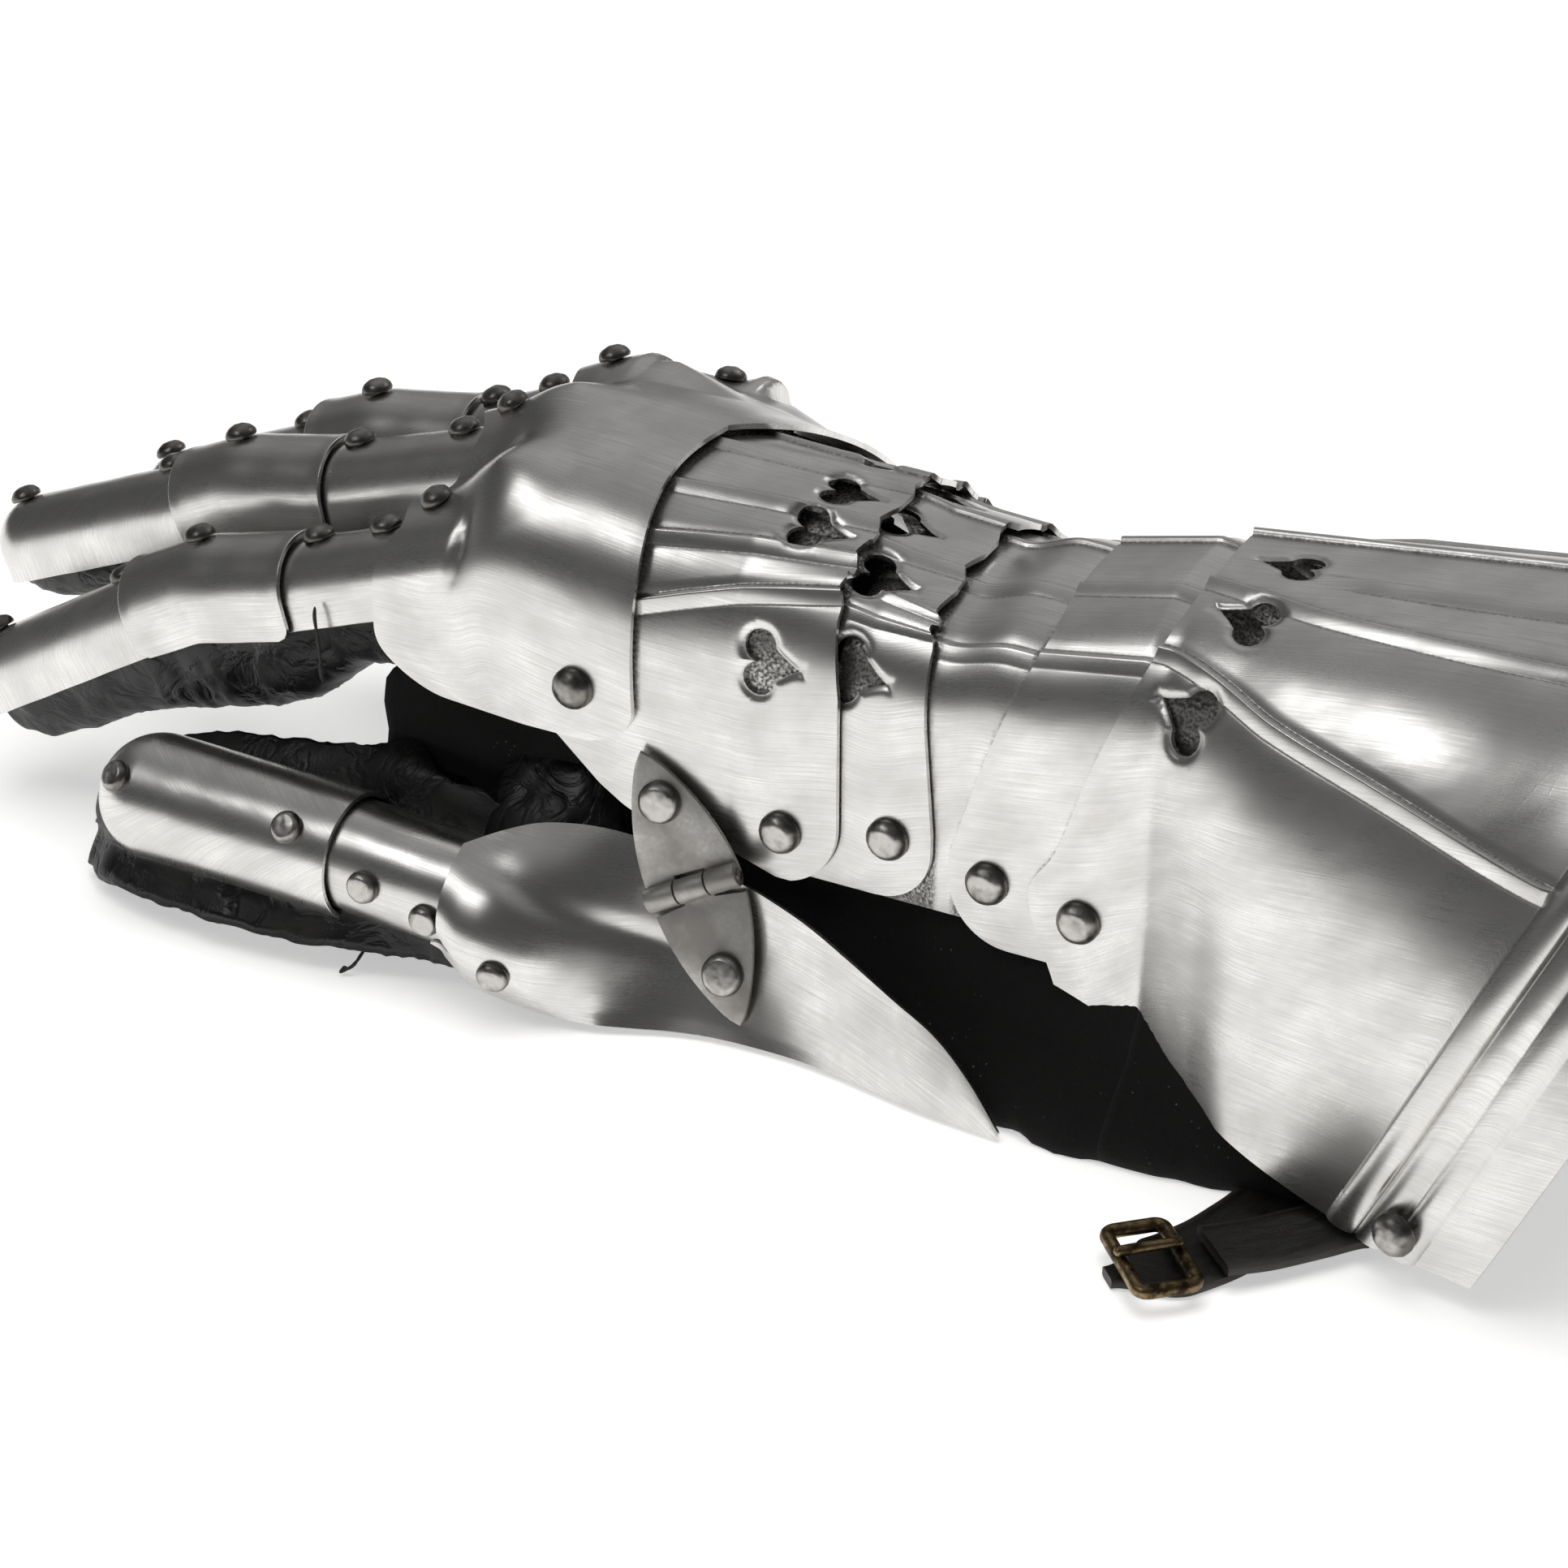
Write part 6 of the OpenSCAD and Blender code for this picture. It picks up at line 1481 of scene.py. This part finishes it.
speck = node(tree, "ShaderNodeMath", {0: specks.outputs[0], 1: patches.outputs[0]}, operation="MULTIPLY")
pile = node(tree, "ShaderNodeMix", {"Factor": nap.outputs[0], 6: srgb("040404"), 7: srgb("151413")},
            data_type="RGBA")
tone = node(tree, "ShaderNodeMix", {"Factor": speck.outputs[0], 6: pile.outputs[2], 7: srgb("6E6A66")},
            data_type="RGBA")
furred = node(tree, "ShaderNodeBump", {"Height": nap.outputs[0], "Strength": 0.6, "Distance": 0.0004})
shader = node(tree, "ShaderNodeBsdfPrincipled", {"Base Color": tone.outputs[2], "Roughness": 0.95,
                                                 "Sheen Weight": 0.03, "Sheen Roughness": 0.4,
                                                 "Normal": furred.outputs[0]})
node(tree, "ShaderNodeOutputMaterial", {"Surface": shader.outputs[0]})

# Sections of the glove: x, half width near and far, top, the far side's squareness, how its top
# leans back, how its far side slants, and how far its near side spreads on the table
glove_sections = [(-97, 37, 40, 78, 1.9, 2, 0.42, 0),
                  (-88, 38.5, 42, 84, 1.9, 1, 0.3, 0),
                  (-76, 38.5, 42, 87, 1.9, 0, 0.1, 0),
                  (-58, 36.5, 40, 87, 1.9, 2, 0, 2),
                  (-40, 33.5, 34, 85, 1.8, 3, 0, 6),
                  (-25, 32, 32, 82, 1.8, 0, 0, 12),
                  (-5, 31.5, 31.5, 79, 1.8, 0, 0, 17),
                  (14, 31.5, 31.5, 79, 1.8, 0, 0, 22),
                  (34, 32, 32, 81, 1.8, 0, 0, 25),
                  (52, 36.5, 36.5, 83, 1.8, 0, 0, 20),
                  (66, 42, 42, 84, 1.8, 0, 0, 13),
                  (90, 48, 48, 87, 1.8, 6, 0, 5)]


def glove_ring(x, near, far, top, squareness, lean, slant, spread, columns=132):
    """One section of the glove, from its near side over the top and round below."""
    a = np.linspace(0, 2 * np.pi, columns, endpoint=False)
    c, s = np.cos(a), np.sin(a)
    n = np.where((c < 0) & (s > 0), squareness, 2.8)
    n = np.where((c > 0) & (s < 0), lerp(2.8, 9, min(1, spread / 10)), n)
    y = -np.where(c > 0, near, far) * np.sign(c) * np.abs(c) ** (2 / n)
    middle = top * 0.42
    bow = np.abs(s) ** (2 / n)
    z = np.where(s > 0, middle + (top - middle) * bow, middle - middle * 1.12 * bow)
    y = y - spread * smooth((28 - z) / 28) * (y < 0) * np.minimum(1, np.abs(y) / near)
    # The palm's leather runs forward under the index finger
    ahead_share = 0.55 * ramp(x, -62, -97) * ramp(z, 70, 50) * ramp(z, 8, 26)
    x = x + lean * (z - 40) / 80 + slant * np.maximum(0, y) - ahead_share * np.maximum(0, -y)
    return np.stack([x, y, np.maximum(z, 0.2)], axis=-1)


def suede_piece(name, rings, **held):
    """A length of the glove in suede, with wide soft folds."""
    soft_piece(name, rings, suede, "suede", 1.4, 14, **held)


rings = along_rings(np.array([glove_ring(*r) for r in glove_sections]), 1.6)
stations = rings[:, :, 0].mean(axis=1)
borders = [int(np.argmin(np.abs(stations - x))) for x in (-38, -18, 2, 22, 44)]
suede_piece("glove_hand_suede", rings[:borders[0] + 1], ends=(4, None), body="metacarpal",
            nodes=("glove_hand",), wall=suede_t)
wrist = (("metacarpal", "front_lame", p_bc), ("front_lame", "wrist_lame", p_cd),
         ("wrist_lame", "rear_lame", p_de), ("rear_lame", "cuff", p_ef))
for k, (first, second, pivot) in enumerate(wrist):
    suede_piece("glove_wrist_suede_%d" % (k + 1), rings[borders[k]:borders[k + 1] + 1],
                bend=(first, second, (pivot[0] - 8, 0, 20), (pivot[0] + 8, 0, 20)))
suede_piece("glove_sleeve_suede", rings[borders[4]:], body="cuff", nodes=("glove_cuff",), wall=suede_t)

# Straps
# Two strips of harness leather riveted inside the cuff's lower corners. One passes under the wrist
# and through the buckle, the other carries the buckle.
strap_w = 17

# Harness leather: thick, stiff and finished black, cracked across where it has been bent, with grey
# raw edges.
harness, tree = new_material("black_harness_leather")
surface = node(tree, "ShaderNodeUVMap", uv_map="surface").outputs[0]
cracks_at = node(tree, "ShaderNodeMapping", {"Vector": surface, "Scale": (1 / 0.007, 1 / 0.0016, 1)})
cracks = node(tree, "ShaderNodeTexNoise", {"Vector": cracks_at.outputs[0], "Scale": 1, "Detail": 3})
pores = node(tree, "ShaderNodeTexVoronoi", {"Vector": surface, "Scale": 1 / 0.0006}, feature="F1")
relief = node(tree, "ShaderNodeMath", {0: pores.outputs["Distance"], 1: 0.2, 2: cracks.outputs[0]},
              operation="MULTIPLY_ADD")
raw = node(tree, "ShaderNodeAttribute", attribute_name="marks_and_shade")
tone = node(tree, "ShaderNodeMix", {"Factor": cracks.outputs[0], 6: srgb("0B0A0A"), 7: srgb("1A1816")},
            data_type="RGBA")
edged = node(tree, "ShaderNodeMix", {"Factor": raw.outputs["Fac"], 6: tone.outputs[2], 7: srgb("3A3531")},
             data_type="RGBA")
rough = node(tree, "ShaderNodeMapRange", {"Value": cracks.outputs[0], "From Min": 0.3, "From Max": 0.7,
                                          "To Min": 0.35, "To Max": 0.6})
bumpy = node(tree, "ShaderNodeBump", {"Height": relief.outputs[0], "Strength": 0.5, "Distance": 0.0002})
shader = node(tree, "ShaderNodeBsdfPrincipled", {"Base Color": edged.outputs[2],
                                                 "Roughness": rough.outputs[0],
                                                 "Normal": bumpy.outputs[0]})
node(tree, "ShaderNodeOutputMaterial", {"Surface": shader.outputs[0]})

tongue_route = [(92, 54, 14), (92, 53.2, 8.5), (91, 48.5, 2.6), (86, 40, 0.1), (81, 20, 0.1), (79, -20, 0.1),
                (78, -45, 0.1), (76, -58, 0.1), (72.5, -70, 0.1), (67, -80, 0.1), (60, -87, 0.1)]
buckle_route = [(103, -54.2, 6), (99, -53.9, 4.8), (95, -53.4, 2.8), (91, -55.5, 2.5),
                (86, -61.5, 2.5), (80, -69, 2.6), (74, -75.4, 3.2)]


def strap(name, route, width, node_name, pointed):
    """A strip of leather along a route of its underside, its edges rounded, its end pointed if asked."""
    run = np.array(route, float)
    step = lengths(run)
    s = np.linspace(0, step[-1], int(step[-1] / 0.8))
    path = np.stack([curve(s, list(zip(step, run[:, k]))) for k in range(3)], axis=-1)
    ahead_of = unit(np.gradient(path, axis=0))
    side = unit(np.stack([-ahead_of[:, 1], ahead_of[:, 0], 0 * s], axis=-1))
    up = np.cross(ahead_of, side)
    half = width / 2 - (width / 2 - 2.5) * smooth(ramp(step[-1] - s, 11, 0)) * pointed
    half = half - 0.25 - 0.2 * np.array([noise.noise(Vector((x / 9, 0, 5))) for x in s])
    across = np.linspace(-1, 1, 13)
    edge = 0.35
    top = [(w, 1 - edge / strap_t * (abs(w) > 0.95)) for w in across]
    bottom = [(w, edge / strap_t * (abs(w) > 0.95)) for w in across[::-1]]
    ring = top + [(1.02, 0.5)] + bottom + [(-1.02, 0.5)]
    w = np.array([p[0] for p in ring])[None, :, None]
    h = np.array([p[1] for p in ring])[None, :, None]
    at = path[:, None] + side[:, None] * half[:, None, None] * w + up[:, None] * strap_t * (0.04 + 0.92 * h)
    # The map's seam lies on the underside, beside one edge
    seam = 25
    at = np.concatenate([at[:, seam:], at[:, :seam + 1]], axis=1)
    raw_edge = np.abs(np.concatenate([w[0, seam:, 0], w[0, :seam + 1, 0]])) > 0.95
    bm = sheet_mesh(at, raw_edge[None, :] * 0.8)
    bmesh.ops.remove_doubles(bm, verts=bm.verts, dist=0.002)
    bmesh.ops.holes_fill(bm, edges=[e for e in bm.edges if e.is_boundary], sides=60)
    bmesh.ops.recalc_face_normals(bm, faces=bm.faces)
    piece = make_piece(bm, name, harness, "cuff", "leather", node_name)
    piece.data.set_sharp_from_angle(angle=math.radians(50))


strap("tongue_strap_leather", tongue_route, strap_w, "tongue_strap", 1)
strap("buckle_strap_leather", buckle_route, strap_w - 3, "buckle_strap", 0)

# Buckle
# A rectangular buckle bent and brazed from brass wire, with a wire prong hooked over one bar. It
# has gone brown in the corners.
brass, tree = new_material("tarnished_brass")
spot = node(tree, "ShaderNodeTexCoord").outputs["Object"]
patina = node(tree, "ShaderNodeTexNoise", {"Vector": spot, "Scale": 1 / 0.003, "Detail": 4,
                                           "Roughness": 0.6})
shown = node(tree, "ShaderNodeMapRange", {"Value": patina.outputs[0], "From Min": 0.38, "From Max": 0.62})
tone = node(tree, "ShaderNodeMix", {"Factor": shown.outputs[0], 6: srgb("3A2F24"), 7: srgb("9A8562")},
            data_type="RGBA")
rough = node(tree, "ShaderNodeMapRange", {"Value": shown.outputs[0], "To Min": 0.55, "To Max": 0.28})
cast = node(tree, "ShaderNodeBump", {"Height": patina.outputs[0], "Strength": 0.4, "Distance": 0.00015})
shader = node(tree, "ShaderNodeBsdfPrincipled", {"Base Color": tone.outputs[2], "Metallic": 1,
                                                 "Roughness": rough.outputs[0], "Normal": cast.outputs[0]})
node(tree, "ShaderNodeOutputMaterial", {"Surface": shader.outputs[0]})

buckle_at = placed((66, -82.5, 3.2), (0.72, 0.69, 0), (0, 0, 1))
buckle_l = 13
buckle_wide = 21
wire = 2.6
prong_r = 0.95


def wire_loop(run, r, closed):
    """A round wire of radius r through points (count, 3), with rounded ends if open."""
    count = len(run)
    ahead_of = np.roll(run, -1, 0) - np.roll(run, 1, 0) if closed else np.gradient(run, axis=0)
    ahead_of = unit(ahead_of)
    side = unit(np.cross((0, 0, 1.0), ahead_of))
    up = np.cross(ahead_of, side)
    a = np.linspace(0, 2 * np.pi, 17)
    size = np.full(count, r)
    if not closed:
        from_end = np.minimum(np.arange(count), np.arange(count)[::-1])
        size = r * np.sqrt(np.clip(1 - (1 - from_end / 3) ** 2, 0.02, 1))
        size = np.where(from_end >= 3, r, size)
    about = side[:, None] * np.cos(a)[None, :, None] + up[:, None] * np.sin(a)[None, :, None]
    at = run[:, None] + about * size[:, None, None]
    if closed:
        at = np.concatenate([at, at[:1]])
    bm = sheet_mesh(at)
    bmesh.ops.remove_doubles(bm, verts=bm.verts, dist=0.002)
    bmesh.ops.holes_fill(bm, edges=[e for e in bm.edges if e.is_boundary], sides=40)
    bmesh.ops.recalc_face_normals(bm, faces=bm.faces)
    return bm


def rounded_rectangle(length, width, r, z):
    """Points round a rectangle with rounded corners."""
    run = []
    for cx, cy, start in ((1, 1, 0), (-1, 1, 90), (-1, -1, 180), (1, -1, 270)):
        for turn in np.radians(start + np.linspace(0, 90, 9)):
            run.append((cx * (length / 2 - r) + r * math.cos(turn),
                        cy * (width / 2 - r) + r * math.sin(turn), z))
    full = []
    for p, q in zip(run, run[1:] + run[:1]):
        share = np.linspace(0, 1, max(1, int(math.dist(p, q) / 0.9)) + 1)[:-1]
        full += [tuple(lerp(np.array(p), np.array(q), t)) for t in share]
    return np.array(full)


bm = wire_loop(rounded_rectangle(buckle_l - wire, buckle_wide - wire, 1.8, wire / 2), wire / 2, True)
bmesh.ops.transform(bm, matrix=buckle_at, verts=bm.verts)
make_piece(bm, "buckle_wire_frame", brass, "buckle_frame", "brass", "buckle_frame")
s = np.linspace(0, 1, 40)
prong_run = np.stack([lerp(-buckle_l / 2 - 0.3, buckle_l / 2 - 0.7, s), 0 * s,
                      wire + 1.05 + 0.15 * np.sin(s * np.pi)], axis=-1)
bm = wire_loop(prong_run, prong_r, False)
bmesh.ops.transform(bm, matrix=buckle_at, verts=bm.verts)
make_piece(bm, "buckle_wire_prong", brass, "buckle_prong", "brass", "buckle_prong")

# Thread ends
# Waxed sewing thread left long where a seam was tied off, at the index finger and under the thumb.
thread_r = 0.28
thread_black, tree = new_material("waxed_black_thread")
spot = node(tree, "ShaderNodeTexCoord").outputs["Object"]
ply = node(tree, "ShaderNodeTexNoise", {"Vector": spot, "Scale": 1 / 0.0007, "Detail": 2})
tone = node(tree, "ShaderNodeMix", {"Factor": ply.outputs[0], 6: srgb("1A1918"), 7: srgb("4A4744")},
            data_type="RGBA")
twisted = node(tree, "ShaderNodeBump", {"Height": ply.outputs[0], "Strength": 0.5, "Distance": 0.0002})
shader = node(tree, "ShaderNodeBsdfPrincipled", {"Base Color": tone.outputs[2], "Roughness": 0.6,
                                                 "Normal": twisted.outputs[0]})
node(tree, "ShaderNodeOutputMaterial", {"Surface": shader.outputs[0]})


def thread_end(name, body, points_mm, seed):
    """Three short strands from a knot along points in mm."""
    whole = bmesh.new()
    whole.verts.layers.float.new("marks_and_shade")
    whole.loops.layers.uv.new("surface")
    base_run = np.array(points_mm, float)
    t = np.linspace(0, 1, 30)
    knots = np.linspace(0, 1, len(base_run))
    run = np.stack([curve(t, list(zip(knots, base_run[:, k]))) for k in range(3)], axis=-1)
    for k in range(3):
        drift = np.array([[noise.noise(Vector((x * 3, k * 5 + j * 11, seed))) for j in range(3)] for x in t])
        strand = wire_loop(run + drift * (0.3 + 1.6 * t[:, None] ** 2), thread_r, False)
        spare = bpy.data.meshes.new("spare")
        strand.to_mesh(spare)
        strand.free()
        whole.from_mesh(spare)
        bpy.data.meshes.remove(spare)
    make_piece(whole, name, thread_black, body, "leather")


index_thread = [(-127.4, -43.4, 64.5), (-127, -44.1, 61.5), (-126.4, -44.3, 56.5), (-126, -44.4, 52.5),
                (-125.4, -44.6, 49)]
thumb_thread = [(-107, -62, 4.5), (-107.5, -64, 3), (-108.6, -65.5, 1.8), (-109.8, -66.5, 1)]
thread_end("index_thread_end", "index_base", index_thread, 1)
thread_end("thumb_thread_end", "thumb_middle", thumb_thread, 2)
